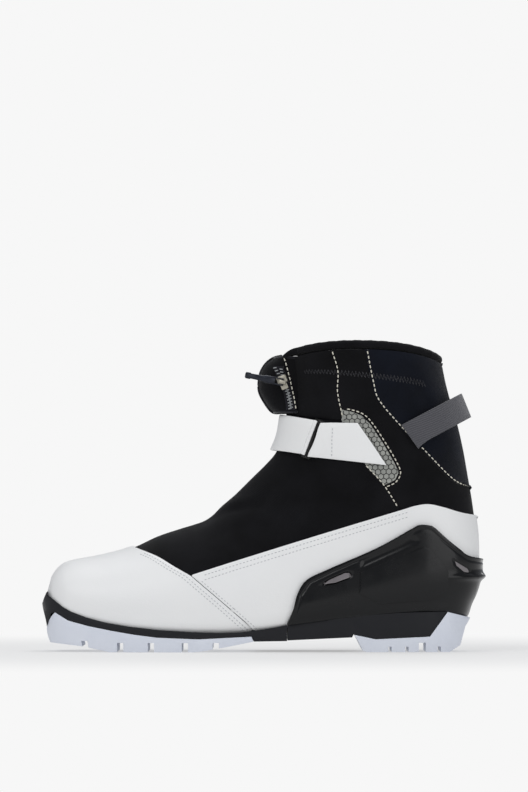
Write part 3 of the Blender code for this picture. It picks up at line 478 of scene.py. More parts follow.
heel_line = smooth(HEEL_SEAM, 70)[::-1]
low_part = cut(seam[::-1], lambda x, z: 62 < z < 107.5)
high_part = cut(seam[::-1], lambda x, z: z > 158)
back_line = beyond_last(np.linspace(11, LAST_ROW, 200), 1.0, SKIN[1])
low_back = np.argmin(back_line[:, 2])
back_rows = np.interp(np.linspace(62, 106.5, 40), back_line[low_back:, 2],
                      np.linspace(11, LAST_ROW, 200)[low_back:])
for side, label in ((OUTER, "lateral"), (INNER, "medial")):
    rim = located(high_seam, SKIN[1])
    rim[-1, 0] = LAST_ROW
    rows = np.linspace(15.3, LAST_ROW, 60)
    net = between(np.stack([rows, throat_place(rows)], 1), rim, count=40)
    panel = laid_panel("collar_panel_" + label, mirrored(net) if side == INNER else net, *SKIN,
                       softshell, seam_dip(net))
    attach(panel, "boot")
    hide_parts("collar_panel_" + label)

    front = located(evenly(np.vstack([(95, 50), low_part, WINDOW[::-1], high_part]), 119), SKIN[1])
    front[-1, 0] = LAST_ROW
    back = np.vstack([np.stack([back_rows, np.full(40, -1.0)], 1),
                      located(evenly(heel_line[1:], 79), SKIN[1])])
    back[-1, 0] = LAST_ROW
    net = between(front, back, count=50)
    panel = laid_panel("ankle_panel_" + label, mirrored(net) if side == INNER else net, *SKIN,
                       softshell, seam_dip(net))
    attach(panel, "boot")
    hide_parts("ankle_panel_" + label)

rim = located(heel_line, SKIN[1])
rim[-1, 0] = LAST_ROW
round_back = np.linspace(0, 1, 81)[:, None]
heel_net = np.stack([rim[:, 0] + 0 * round_back, rim[:, 1] - 2 * (1 + rim[:, 1]) * round_back], -1)
heel_panel = laid_panel("heel_panel_stretch", heel_net, *SKIN, heel_cloth, seam_dip(heel_net))
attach(heel_panel, "boot")
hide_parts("heel_panel")

# ---------------------------------------------------------------- toe cap and side panels
# White synthetic leather: a fine grained, satin polyurethane coat on a knit. The panels are
# cut with clean edges and sewn over the gaiter with two rows of matching thread.
OVERLAY = (0.0, 1.0)
TOE_BORDER = [(-100, 75), (-85, 68.6), (-69.3, 62.4), (-58, 55.7), (-47.5, 49.8)]
TOE_SEAM = [(-47.5, 49.8), (-26, 31.5), (-6.6, 14.5)]
PANEL_TOP = [(-47.5, 49.8), (-15.5, 60), (36, 76), (88.5, 91.9), (98, 94.8), (107, 96),
             (117, 94), (129.2, 90.5), (142, 88.5)]

leather, tree, shader = finish("coated_white_leather", "#E9EAEA", 0.42, Specular_IOR_Level=0.35,
                               Coat_Weight=0.08, Coat_Roughness=0.3)
where = node(tree, "ShaderNodeTexCoord")
# Leather grain is 0.4 to 0.8 mm across; it is drawn at 1.1 mm so that it shows.
pebble = node(tree, "ShaderNodeTexVoronoi", {"Vector": where.outputs["Object"], "Scale": 900.0,
                                             "Smoothness": 0.6}, feature="SMOOTH_F1")
wrinkle = node(tree, "ShaderNodeTexNoise", {"Vector": where.outputs["Object"], "Scale": 150.0,
                                            "Detail": 4.0, "Roughness": 0.6})
height = node(tree, "ShaderNodeMath", {0: pebble.outputs["Distance"], 1: 0.45,
                                       2: wrinkle.outputs["Fac"]}, operation="MULTIPLY_ADD")
bump = node(tree, "ShaderNodeBump", {"Height": height.outputs[0], "Strength": 0.35,
                                     "Distance": 0.00025})
tone = node(tree, "ShaderNodeTexNoise", {"Vector": where.outputs["Object"], "Scale": 14.0,
                                         "Detail": 3.0})
shade = node(tree, "ShaderNodeMix", {0: tone.outputs["Fac"], 6: (*linear("#E4E5E6"), 1),
                                     7: (*linear("#EEEEED"), 1)}, data_type="RGBA")
worn = node(tree, "ShaderNodeMapRange", {"Value": wrinkle.outputs["Fac"], "From Min": 0.3,
                                         "From Max": 0.7, "To Min": 0.36, "To Max": 0.5})
tree.links.new(shade.outputs[2], shader.inputs["Base Color"])
tree.links.new(worn.outputs[0], shader.inputs["Roughness"])
tree.links.new(bump.outputs[0], shader.inputs["Normal"])

places = np.linspace(-1, 1, 121)
seam_line = np.vstack([smooth(TOE_BORDER, 60), smooth(TOE_SEAM, 40)[1:]])
corner = located([(-6.9, 14.4)], OVERLAY[1])[0]
seam_places = corner[1] * -np.linspace(-1, 1, 121)
cap_seam = np.stack([rows_on_line(seam_places, seam_line, OVERLAY[1]), seam_places], 1)
cap_edge = located(evenly(cut(feather, lambda x, z: -138 < x < -7), 99), OVERLAY[1])
cap_edge = np.vstack([[(0, cap_edge[0, 1] * 1.02)], cap_edge])
cap_edge[-1] = cap_seam[0]
tip = np.stack([0 * places, -cap_edge[0, 1] * places], 1)
toe_net = between(cap_edge, mirrored(cap_edge), tip, cap_seam)

toe_cap = laid_panel("toe_cap_leather", toe_net, *OVERLAY, leather)
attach(toe_cap, "boot")
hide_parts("toe_cap")

for side, label in ((OUTER, "lateral"), (INNER, "medial")):
    foot = located(evenly(cut(feather, lambda x, z: -6 < x < 141), 130), OVERLAY[1])
    top = located(smooth(PANEL_TOP, 130), OVERLAY[1])
    foot[-1, 1] = top[-1, 1] = -1
    toe_end = located(smooth([(-5.8, 14.3), (-25.4, 31.5), (-46.6, 49.6)], 50), OVERLAY[1])
    foot[0], top[0] = toe_end[0], toe_end[-1]
    heel_end = np.stack([np.linspace(foot[-1, 0], top[-1, 0], 50), np.full(50, -1.0)], 1)
    net = between(foot, top, toe_end, heel_end)
    panel = laid_panel("side_panel_leather_" + label, mirrored(net) if side == INNER else net,
                       *OVERLAY, leather)
    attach(panel, "boot")
    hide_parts("side_panel_" + label)

# ---------------------------------------------------------------- stitching
# Bonded polyester thread, lock-stitched: cream on the softshell's seams and round the
# window, and white in double rows along the leather's edges. Each stitch is a short rounded
# bead of thread that dips into the cloth at both ends.
PITCH, STITCH, THREAD = 3.1, 2.1, 0.42


def thread_finish(name, colour):
    made, tree, shader = finish(name, colour, 0.65, Specular_IOR_Level=0.3, Sheen_Weight=0.2)
    where = node(tree, "ShaderNodeTexCoord")
    twist = node(tree, "ShaderNodeTexWave", {"Vector": where.outputs["Object"], "Scale": 700.0,
                                             "Distortion": 1.0}, bands_direction="DIAGONAL")
    bump = node(tree, "ShaderNodeBump", {"Height": twist.outputs["Fac"], "Strength": 0.5,
                                         "Distance": 0.0001})
    tree.links.new(bump.outputs[0], shader.inputs["Normal"])
    return made


cream_thread = thread_finish("cream_thread", "#D6D2C4")
white_thread = thread_finish("white_thread", "#B9BBBE")
black_thread = thread_finish("black_thread", "#26262B")


def stitched(name, runs, depth, material, pitch=PITCH, length=STITCH, thick=THREAD):
    """One mesh of stitches along runs of rows and places. Each is a six-sided bead."""
    bm = bmesh.new()
    for run in runs:
        path = beyond_last(run[:, 0], run[:, 1], depth) + TO_MIDDLE
        out = beyond_last(run[:, 0], run[:, 1], depth + 1) + TO_MIDDLE - path
        way = np.concatenate([[0], np.cumsum(np.linalg.norm(np.diff(path, axis=0), axis=1))])
        for start in np.arange(pitch * 0.4, way[-1] - length, pitch):
            rings = []
            for share, size in ((0, 0.45), (0.18, 0.9), (0.5, 1.0), (0.82, 0.9), (1, 0.45)):
                at = start + share * length
                middle, up = (np.array([np.interp(at, way, a[:, k]) for k in range(3)])
                              for a in (path, out))
                ahead = np.array([np.interp(at + 0.3, way, path[:, k]) for k in range(3)]) - middle
                ahead /= np.linalg.norm(ahead) + 1e-9
                across = np.cross(ahead, up)
                across /= np.linalg.norm(across) + 1e-9
                middle = middle + up * (0.25 if 0 < share < 1 else -0.15) * thick
                rings.append([bm.verts.new((middle + thick * size * (
                    math.cos(a) * across + 0.8 * math.sin(a) * up)) * MM)
                    for a in np.arange(6) * math.tau / 6])
            for first, second in zip(rings, rings[1:]):
                for k in range(6):
                    bm.faces.new((first[k], first[k - 1], second[k - 1], second[k]))
            bm.faces.new(rings[0])
            bm.faces.new(rings[-1][::-1])
    bmesh.ops.recalc_face_normals(bm, faces=bm.faces)
    mesh = bpy.data.meshes.new(name)
    bm.to_mesh(mesh)
    bm.free()
    mesh.materials.append(material)
    mesh.shade_smooth()
    made = bpy.data.objects.new(name, mesh)
    bpy.context.collection.objects.link(made)
    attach(made, "boot")
    return made


def both_sides(line, count, depth):
    run = located(smooth(line, count), depth)
    return [run, mirrored(run)]


stitched("collar_seam_stitches", both_sides([(43.8, 197.5), *COLLAR_SEAM[2:5]], 80, SKIN[1])
         + both_sides([(65.8, 121.9), (78.2, 108.2), (87.6, 93.2)], 30, SKIN[1]), SKIN[1], cream_thread)
stitched("heel_seam_stitches", both_sides(
    [(66.8, 198), *[(x + 1.2, z) for x, z in HEEL_SEAM[2:]]], 130, SKIN[1]), SKIN[1], cream_thread)
stitched("window_stitches", both_sides(
    [(x + 1.3, z + 0.9) for x, z in WINDOW[:6]] + [(88.9, 116.4), (85.9, 110.4), (79.8, 107.2)],
    110, SKIN[1]),
    SKIN[1], cream_thread)

top_line = smooth(PANEL_TOP, 200)
step = np.gradient(top_line, axis=0)
step /= np.linalg.norm(step, axis=1, keepdims=True)
under = np.stack([step[:, 1], -step[:, 0]], 1)
rows_below = [cut(top_line + under * gap, lambda x, z: -40 < x < 96) for gap in (2.6, 5.6)]
fine = dict(pitch=2.4, length=1.35, thick=0.26)
stitched("side_panel_stitches",
         [run for line in rows_below for run in both_sides(line, 140, OVERLAY[1])],
         OVERLAY[1], white_thread, **fine)
seam_rows = [[(x + shift, z + shift * 0.2) for x, z in cut(seam_line, keep)]
             for shift, keep in ((-3.0, lambda x, z: -76 < x), (-5.6, lambda x, z: -76 < x),
                                 (2.4, lambda x, z: -44 < x))]
stitched("toe_cap_stitches", [run for line in seam_rows for run in both_sides(line, 110, OVERLAY[1])],
         OVERLAY[1], white_thread, **fine)
zigzag = []
for side in (OUTER, INNER):
    q = np.linspace(0.2, 0.97, 200)
    rows = LAST_ROW - 0.92 + 0.1 * (np.abs(np.arange(200) % 4 - 2) - 1)
    zigzag.append(np.stack([rows, q * side], 1))
stitched("collar_overcast_stitches", zigzag, SKIN[1], black_thread, pitch=1.9, length=1.7, thick=0.22)

# ---------------------------------------------------------------- mesh window
# A grey film set into the ankle behind the strap, with a honeycomb net of raised black
# strands pressed on it. The net is cut to the window and tucked under its edge.
FILM_DEPTH, STRAND_DEPTH, CELL, STRAND = (-1.7, -1.0), -0.95, 3.5, 0.24

film, tree, shader = finish("grey_window_film", "#8F908C", 0.32, Specular_IOR_Level=0.4)
where = node(tree, "ShaderNodeTexCoord")
cloud = node(tree, "ShaderNodeTexNoise", {"Vector": where.outputs["Object"], "Scale": 120.0,
                                          "Detail": 3.0})
tint = node(tree, "ShaderNodeMix", {0: cloud.outputs["Fac"], 6: (*linear("#6E706E"), 1),
                                    7: (*linear("#B4B5AE"), 1)}, data_type="RGBA")
knit = node(tree, "ShaderNodeTexVoronoi", {"Vector": where.outputs["Object"], "Scale": 1300.0})
bump = node(tree, "ShaderNodeBump", {"Height": knit.outputs["Distance"], "Strength": 0.4,
                                     "Distance": 0.0002})
tree.links.new(tint.outputs[2], shader.inputs["Base Color"])
tree.links.new(bump.outputs[0], shader.inputs["Normal"])
strand_black, tree, shader = finish("printed_black_strand", "#1B1B1C", 0.4, Specular_IOR_Level=0.3)
where = node(tree, "ShaderNodeTexCoord")
speck = node(tree, "ShaderNodeTexNoise", {"Vector": where.outputs["Object"], "Scale": 800.0})
bump = node(tree, "ShaderNodeBump", {"Height": speck.outputs["Fac"], "Strength": 0.3,
                                     "Distance": 0.0001})
tree.links.new(bump.outputs[0], shader.inputs["Normal"])


def inside_outline(spot, outline):
    """Whether a side-view point lies inside a closed outline."""
    x, z = spot
    ends = np.array(outline, float)
    nexts = np.roll(ends, -1, axis=0)
    crosses = (ends[:, 1] > z) != (nexts[:, 1] > z)
    lift = np.where(crosses, nexts[:, 1] - ends[:, 1], 1)
    at = ends[:, 0] + (z - ends[:, 1]) / lift * (nexts[:, 0] - ends[:, 0])
    return bool(np.sum(crosses & (x < at)) % 2)


def capsule_net(name, segments, radius, material, body, sides=6):
    """Round strands between pairs of points in mm, as one mesh."""
    bm = bmesh.new()
    for start, end in segments:
        start, end = Vector(start), Vector(end)
        along = (end - start).normalized()
        first = along.orthogonal().normalized()
        second = along.cross(first)
        rings = []
        for spot in (start - along * radius * 0.5, end + along * radius * 0.5):
            rings.append([bm.verts.new((spot + radius * (math.cos(a) * first
                                                         + math.sin(a) * second)) * MM)
                          for a in np.arange(sides) * math.tau / sides])
        for k in range(sides):
            bm.faces.new((rings[0][k - 1], rings[0][k], rings[1][k], rings[1][k - 1]))
        bm.faces.new(rings[0][::-1])
        bm.faces.new(rings[1])
    bmesh.ops.recalc_face_normals(bm, faces=bm.faces)
    mesh = bpy.data.meshes.new(name)
    bm.to_mesh(mesh)
    bm.free()
    mesh.materials.append(material)
    mesh.shade_smooth()
    made = bpy.data.objects.new(name, mesh)
    bpy.context.collection.objects.link(made)
    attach(made, body)
    return made


window_front = evenly(cut(seam, lambda x, z: 107.5 < z < 158), 60)
window_outline = np.vstack([window_front, np.array(WINDOW[::-1])])
turn = math.radians(58)
for side, label in ((OUTER, "lateral"), (INNER, "medial")):
    net = between(located(window_front - (1.2, 0), FILM_DEPTH[1]),
                  located(evenly(np.array(WINDOW) + (1.0, 0.6), 60), FILM_DEPTH[1]), count=24)
    window = laid_panel("mesh_window_film_" + label, mirrored(net) if side == INNER else net,
                        *FILM_DEPTH, film, bevel=0)
    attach(window, "boot")
    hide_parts("mesh_window_" + label)
    pairs = []
    for i in range(-12, 13):
        for j in range(-12, 13):
            a, b = (i + 0.5 * (j % 2)) * CELL, j * CELL * math.sqrt(3) / 2
            corners = [(a + CELL / math.sqrt(3) * math.cos(t), b + CELL / math.sqrt(3) * math.sin(t))
                       for t in np.radians([30, 90, 150, 210])]
            for p, r in zip(corners, corners[1:]):
                ends = [(72 + c * math.cos(turn) + d * math.sin(turn),
                         132 - c * math.sin(turn) + d * math.cos(turn)) for c, d in (p, r)]
                if inside_outline(np.mean(ends, axis=0), window_outline):
                    pairs.append(ends)
    spots = located(np.array(pairs).reshape(-1, 2), STRAND_DEPTH, side)
    spots = (beyond_last(spots[:, 0], spots[:, 1], STRAND_DEPTH) + TO_MIDDLE).reshape(-1, 2, 3)
    strands = capsule_net("honeycomb_strands_" + label, spots, STRAND, strand_black, "boot")

# ---------------------------------------------------------------- instep strap
# White coated webbing strap: it comes from the inner side over the instep, passes round the
# ring on the outer side and folds back on itself, held by hook and loop under the tail.
STRAP, HOOKS, TAIL, RING = (0.3, 1.5), (1.8, 2.4), (2.7, 3.9), (0.4, 2.4)
UPPER_LINE = [(-20, 160.4), (35.6, 149.8), (61, 148.7)]
LOWER_LINE = [(-20, 135.9), (27.1, 127.3), (79.6, 121.3)]
RING_MIDDLE, RING_RUN = np.array([31.9, 138.4]), np.array([0.355, 0.934])
RING_EDGE = 3.2


def ring_line(offset, top=11.8, low=-11.8, count=30):
    """Points along the ring's length at an offset towards the heel, bottom to top."""
    reach = np.linspace(low, top, count)[:, None]
    return RING_MIDDLE + np.array([RING_RUN[1], -RING_RUN[0]]) * offset + RING_RUN * reach


def strap_lines(ring_end, far_upper, far_lower, depth, count=110):
    """The strap's lower and upper edges from the ring round to places on the inner side."""
    ends = located([ring_end[0], ring_end[-1]], depth)
    low_q = np.linspace(ends[0, 1], far_lower, count)
    high_q = np.linspace(ends[1, 1], far_upper, count)
    return (np.stack([rows_on_line(low_q, LOWER_LINE, depth), low_q], 1),
            np.stack([rows_on_line(high_q, UPPER_LINE, depth), high_q], 1))


def strap_edges(points):
    """A strap's faint crown, and its edges turned down, in mm."""
    share = np.linspace(-1, 1, points.shape[0])[:, None] + 0 * points[..., 0]
    return 0.25 - 0.55 * np.abs(share) ** 8 + 0.06 * np.sin(points[..., 0] / 7 + points[..., 2] / 5)


anchor_far = located([(79.6, 121.3), (61, 148.7)], STRAP[1], INNER)
low, high = strap_lines(ring_line(-RING_EDGE), anchor_far[1, 1], anchor_far[0, 1], STRAP[1])
net = between(low, high, near=located(ring_line(-RING_EDGE), STRAP[1]))
strap = laid_panel("instep_strap_under", net, *STRAP, leather, strap_edges)
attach(strap, "boot")
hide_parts("instep_strap")

low, high = strap_lines(ring_line(-RING_EDGE - 0.4), 0.17, 0.17, TAIL[1], 70)
net = between(low, high, near=located(ring_line(-RING_EDGE - 0.4), TAIL[1]))
tail = laid_panel("strap_tail_leather", net, *TAIL, leather, strap_edges)
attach(tail, "strap_tail")
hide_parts("strap_tail")

# The hook patch on the tail's inner face: black nylon hooks on a woven base.
hooks_nylon = twill_cloth("hook_nylon", "#0E0E10", "#1C1C1F", 0.3, thread_mm=0.9)
low, high = strap_lines(ring_line(-RING_EDGE - 4), 0.10, 0.10, HOOKS[1], 50)
patch = laid_panel("strap_hook_patch_nylon", between(low + (0.12, 0), high - (0.12, 0), count=16),
                   HOOKS[0], HOOKS[1] + 0.25, hooks_nylon, bevel=0.15)
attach(patch, "strap_tail")
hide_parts("strap_hook_patch")


def swept_strip(name, path, material, body, thick=1.2):
    """A strip across the ring that follows a path of offsets and depths."""
    rings = []
    for offset, depth in path:
        line = located(ring_line(offset), depth)
        rings.append(beyond_last(line[:, 0], line[:, 1], depth))
    obj = laid_sheet(name, np.array(rings))
    if obj.data.polygons[len(obj.data.polygons) // 3].normal.y > 0:
        obj.data.flip_normals()
    wall = obj.modifiers.new("wall", "SOLIDIFY")
    wall.thickness, wall.offset = thick * MM, -1
    edge = obj.modifiers.new("edge", "BEVEL")
    edge.width, edge.segments, edge.limit_method = 0.3 * MM, 2, "ANGLE"
    apply_modifiers(obj)
    bpy.ops.object.shade_smooth_by_angle(angle=math.radians(50))
    obj.data.materials.append(material)
    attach(obj, body)
    return obj


fold_path = [(-RING_EDGE - 0.35, TAIL[1] + 0.1), (-RING_EDGE + 0.1, TAIL[1]),
             (-2.6, TAIL[1] + 0.02), (-2.0, TAIL[1]), (-1.55, TAIL[1] - 0.25),
             (-1.25, TAIL[1] - 0.8), (-1.15, TAIL[1] - 1.5), (-1.15, 1.2)]
swept_strip("instep_strap_fold", fold_path, leather, "boot")


def anchor_rise(points):
    """The anchor climbs over the ring's rear bar and turns down at its front edge."""
    offset = ((points[..., 0] - RING_MIDDLE[0]) * RING_RUN[1]
              - (points[..., 2] - RING_MIDDLE[1]) * RING_RUN[0])
    climb = np.clip((8.5 - offset) / 5.5, 0, 1)
    turned = np.clip((1.9 - offset) / 0.8, 0, 1)
    return strap_edges(points) + 2.2 * climb * climb * (3 - 2 * climb) - 1.6 * turned ** 2


low = located(evenly([ring_line(1.15)[0], (79.6, 121.3)], 90), STRAP[1])
high = located(evenly([ring_line(1.15)[-1], (61, 148.7)], 90), STRAP[1])
anchor = laid_panel("strap_anchor_leather", between(low, high, count=30), *STRAP, leather, anchor_rise)
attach(anchor, "boot")
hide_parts("strap_anchor")
bar_tack = located([(44.9, 146.3), (44.4, 138), (44.2, 126.5)], STRAP[1])
tack = stitched("strap_anchor_stitches", [evenly(bar_tack, 40)], STRAP[1] + 0.4, white_thread, **fine)

# The ring: a black moulded nylon slide with a bar down its middle.
ring_plastic, tree, shader = finish("moulded_black_nylon", "#0C0C0D", 0.38, Specular_IOR_Level=0.4)
where = node(tree, "ShaderNodeTexCoord")
speck = node(tree, "ShaderNodeTexNoise", {"Vector": where.outputs["Object"], "Scale": 1500.0})
bump = node(tree, "ShaderNodeBump", {"Height": speck.outputs["Fac"], "Strength": 0.25,
                                     "Distance": 0.0001})
tree.links.new(bump.outputs[0], shader.inputs["Normal"])
frame_path = np.vstack([ring_line(-2.2, 12.6, -12.6, 20), ring_line(2.2, 12.6, -12.6, 20)[::-1]])
lines = [np.vstack([frame_path, frame_path[:1]]), ring_line(0.0, 12.9, -12.9, 24)]
segments = []
for line, depth in zip(lines, (1.4, 1.95)):
    spots = located(line, depth)
    spots = beyond_last(spots[:, 0], spots[:, 1], depth) + TO_MIDDLE
    segments += list(zip(spots, spots[1:]))
ring = capsule_net("strap_ring_slide", segments, 0.95, ring_plastic, "boot", sides=10)
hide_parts("strap_ring")

# ---------------------------------------------------------------- front flap and zip
# The gaiter's front edge stands forward of the shaft as a bound softshell flap. A coil zip is
# sewn down its outer side, with a bare metal slider and a painted cord pull that points forward.
FLAP_FRONT = [(156.2, 6.5), (160, 2.6), (168.8, -2.4), (176, -2.9), (182.5, -1.6),
              (188, 1.8), (191.6, 6.6)]
FLAP_BACK, FLAP_HALF_WIDTH, FLAP_WALL, FLAP_CURVE = 21.0, 20.6, 1.6, 2.4
ZIP_LINE = [(17.9, 157.2), (17.5, 161.5), (16.2, 168), (14.0, 174), (12.0, 179), (10.0, 184)]
SLIDER_AT, PULLER_PIVOT, PULLER_REST = 175.2, 5.5, math.radians(75)
PULLER_AXIS = Vector((-0.19, 0, -0.98)).normalized()


def flap_ring(z, inset, back, half, count):
    """The flap's section at a height: a half oval that bulges forward."""
    line = smooth(FLAP_FRONT, 60)
    front = np.interp(z, line[:, 0], line[:, 1]) + inset
    a = np.linspace(-math.pi / 2, math.pi / 2, count)
    reach = np.abs(np.cos(a)) ** (2 / FLAP_CURVE)
    side = np.sign(a) * np.abs(np.sin(a)) ** (2 / FLAP_CURVE)
    return np.stack([back - (back - front) * reach, half * side, np.full(count, z)], 1)


heights = np.linspace(156.2, 191.6, 46)
rings = np.array([flap_ring(z, 0, FLAP_BACK + 1.2, FLAP_HALF_WIDTH, 73) for z in heights])
rings[..., 0] += 0.25 * np.sin(rings[..., 2] / 5) * np.cos(rings[..., 1] / 6)
flap = laid_sheet("front_flap_softshell", rings)
if flap.data.polygons[23 * 72 + 36].normal.x > 0:
    flap.data.flip_normals()
wall = flap.modifiers.new("wall", "SOLIDIFY")
wall.thickness, wall.offset = FLAP_WALL * MM, -1
rounded = flap.modifiers.new("rounded", "BEVEL")
rounded.width, rounded.segments, rounded.limit_method = 0.6 * MM, 3, "ANGLE"
apply_modifiers(flap)
bpy.ops.object.shade_smooth_by_angle(angle=math.radians(50))
flap.data.materials.append(softshell)
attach(flap, "boot")
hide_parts("front_flap")


def tube(name, path, radius, material, body, sides=12):
    """A round tube along points in mm, tapered shut at its ends."""
    path = np.array(path, float)
    run = np.gradient(path, axis=0)
    run /= np.linalg.norm(run, axis=1, keepdims=True)
    up = np.cross(run, np.cross([0.02, 0.01, 1.0], run))
    up /= np.linalg.norm(up, axis=1, keepdims=True)
    across = np.cross(run, up)
    size = np.broadcast_to(np.asarray(radius, float), (len(path),)).copy()
    around = np.arange(sides + 1) * math.tau / sides
    turned = (np.cos(around)[None, :, None] * across[:, None]
              + np.sin(around)[None, :, None] * up[:, None])
    points = path[:, None] + size[:, None, None] * turned
    first, last = (np.repeat(path[[at], None] + way * run[[at], None] * size[at] * 0.5,
                             sides + 1, axis=1)
                   for at, way in ((0, -1), (-1, 1)))
    obj = laid_sheet(name, np.concatenate([first, points, last]))
    bm = bmesh.new()
    bm.from_mesh(obj.data)
    bmesh.ops.remove_doubles(bm, verts=bm.verts, dist=1e-6)
    bmesh.ops.recalc_face_normals(bm, faces=bm.faces)
    bm.to_mesh(obj.data)
    bm.free()
    obj.data.shade_smooth()
    obj.data.materials.append(material)
    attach(obj, body)
    return obj


binding_tape = twill_cloth("binding_tape", "#16161A", "#222228", 0.35, thread_mm=0.8)
front_edge = [(x - 0.1, 0, z)
              for z, x in smooth([(156.2, 19), (156.0, 12), *FLAP_FRONT, (193.0, 12)], 90)]
piping = tube("front_flap_binding", front_edge, 1.05, binding_tape, "boot", sides=10)
for label, z in (("lower", 156.3), ("upper", 191.5)):
    edge_binding = tube(f"front_flap_{label}_binding", flap_ring(z, 0.6, FLAP_BACK + 1, 20.0, 60), 0.95,
                        binding_tape, "boot", sides=10)


def on_flap(x, z, depth):
    """A point beyond the flap's outer side, and the flap's normal there."""
    rows = np.array(FLAP_FRONT)
    deep = FLAP_BACK - float(np.interp(z, rows[:, 0], rows[:, 1]))
    reach = (FLAP_BACK - x) / deep
    side = (1 - reach ** FLAP_CURVE) ** (1 / FLAP_CURVE)
    normal = np.array([-reach ** 1.4 / deep, -side ** 1.4 / FLAP_HALF_WIDTH, 0])
    normal /= np.linalg.norm(normal)
    return np.array([x, -FLAP_HALF_WIDTH * side, z]) + normal * depth, normal


zip_z = np.linspace(157.4, 186, 50)
zip_x = np.interp(zip_z, *np.array(ZIP_LINE).T[::-1])
tape_points = np.array([[on_flap(x + share * 3.0, z, 0.75 + 0.15 * (abs(share) < 0.3))[0]
                         for share in np.linspace(-1, 1, 13)] for x, z in zip(zip_x, zip_z)])
tape = laid_sheet("zip_tape_woven", tape_points)
if tape.data.polygons[300].normal.y > 0:
    tape.data.flip_normals()
wall = tape.modifiers.new("wall", "SOLIDIFY")
wall.thickness, wall.offset = 0.45 * MM, -1
apply_modifiers(tape)
bpy.ops.object.shade_smooth_by_angle(angle=math.radians(50))
tape.data.materials.append(binding_tape)
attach(tape, "boot")
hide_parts("zip_tape")

coil_nylon, tree, shader = finish("zip_coil_nylon", "#8C8E90", 0.35, Specular_IOR_Level=0.5)
where = node(tree, "ShaderNodeTexCoord")
speck = node(tree, "ShaderNodeTexNoise", {"Vector": where.outputs["Object"], "Scale": 900.0})
shade = node(tree, "ShaderNodeMix", {0: speck.outputs["Fac"], 6: (*linear("#6F7276"), 1),
                                     7: (*linear("#A9ABAC"), 1)}, data_type="RGBA")
tree.links.new(shade.outputs[2], shader.inputs["Base Color"])
teeth = []
for i, z in enumerate(np.arange(158.2, 185, 0.95)):
    x = float(np.interp(z, *np.array(ZIP_LINE).T[::-1]))
    apart = np.clip((z - SLIDER_AT - 3) / 9, 0, 1) * 2.0
    hand = 1 if i % 2 else -1
    teeth.append([on_flap(x + hand * (apart + 1.25), z, 1.35)[0] + TO_MIDDLE,
                  on_flap(x + hand * (apart - 0.3), z + 0.2, 1.55)[0] + TO_MIDDLE])
coil = capsule_net("zip_teeth_coil", teeth, 0.4, coil_nylon, "boot", sides=8)
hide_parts("zip_teeth")

zip_paint, tree, shader = finish("painted_zip_metal", "#23262F", 0.34, Metallic=0.55,
                                 Specular_IOR_Level=0.5)
where = node(tree, "ShaderNodeTexCoord")
chips = node(tree, "ShaderNodeTexNoise", {"Vector": where.outputs["Object"], "Scale": 420.0,
                                          "Detail": 5.0})
wear = node(tree, "ShaderNodeMapRange", {"Value": chips.outputs["Fac"], "From Min": 0.55,
                                         "From Max": 0.75, "To Min": 0.3, "To Max": 0.55})
tree.links.new(wear.outputs[0], shader.inputs["Roughness"])
bump = node(tree, "ShaderNodeBump", {"Height": chips.outputs["Fac"], "Strength": 0.15,
                                     "Distance": 0.0001})
tree.links.new(bump.outputs[0], shader.inputs["Normal"])


def placed(obj, origin, down, out):
    """Puts a piece modelled with -Z along the zip and -Y outwards in its place, in its mesh."""
    side = out.cross(down).normalized()
    turned = Matrix((side, -out, -down)).transposed().to_4x4()
    obj.data.transform(Matrix.Translation((origin + Vector(TO_MIDDLE)) * MM) @ turned)
    return obj


def beveled_block(low, high, bevel, segments=3):
    """A block between two corners in mm, with rounded edges."""
    size = [(b - a) * MM for a, b in zip(low, high)]
    bpy.ops.object.select_all(action="DESELECT")
    bpy.ops.mesh.primitive_cube_add(size=1)
    obj = bpy.context.object
    obj.data.transform(Matrix.Translation([(a + b) / 2 * MM for a, b in zip(low, high)])
                       @ Matrix.Diagonal((*size, 1)))
    bpy.ops.object.mode_set(mode="EDIT")
    bpy.ops.mesh.select_all(action="SELECT")
    bpy.ops.mesh.bevel(offset=bevel * MM, segments=segments, affect="EDGES")
    bpy.ops.object.mode_set(mode="OBJECT")
    bpy.ops.object.shade_smooth_by_angle(angle=math.radians(40))
    return obj


def joined(name, parts, material, body):
    """Several meshes joined as one piece with one material, riding on a body."""
    bpy.ops.object.select_all(action="DESELECT")
    for part in parts:
        part.select_set(True)
    bpy.context.view_layer.objects.active = parts[0]
    bpy.ops.object.join()
    piece = bpy.context.object
    piece.name = name
    piece.data.materials.clear()
    piece.data.materials.append(material)
    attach(piece, body)
    return piece


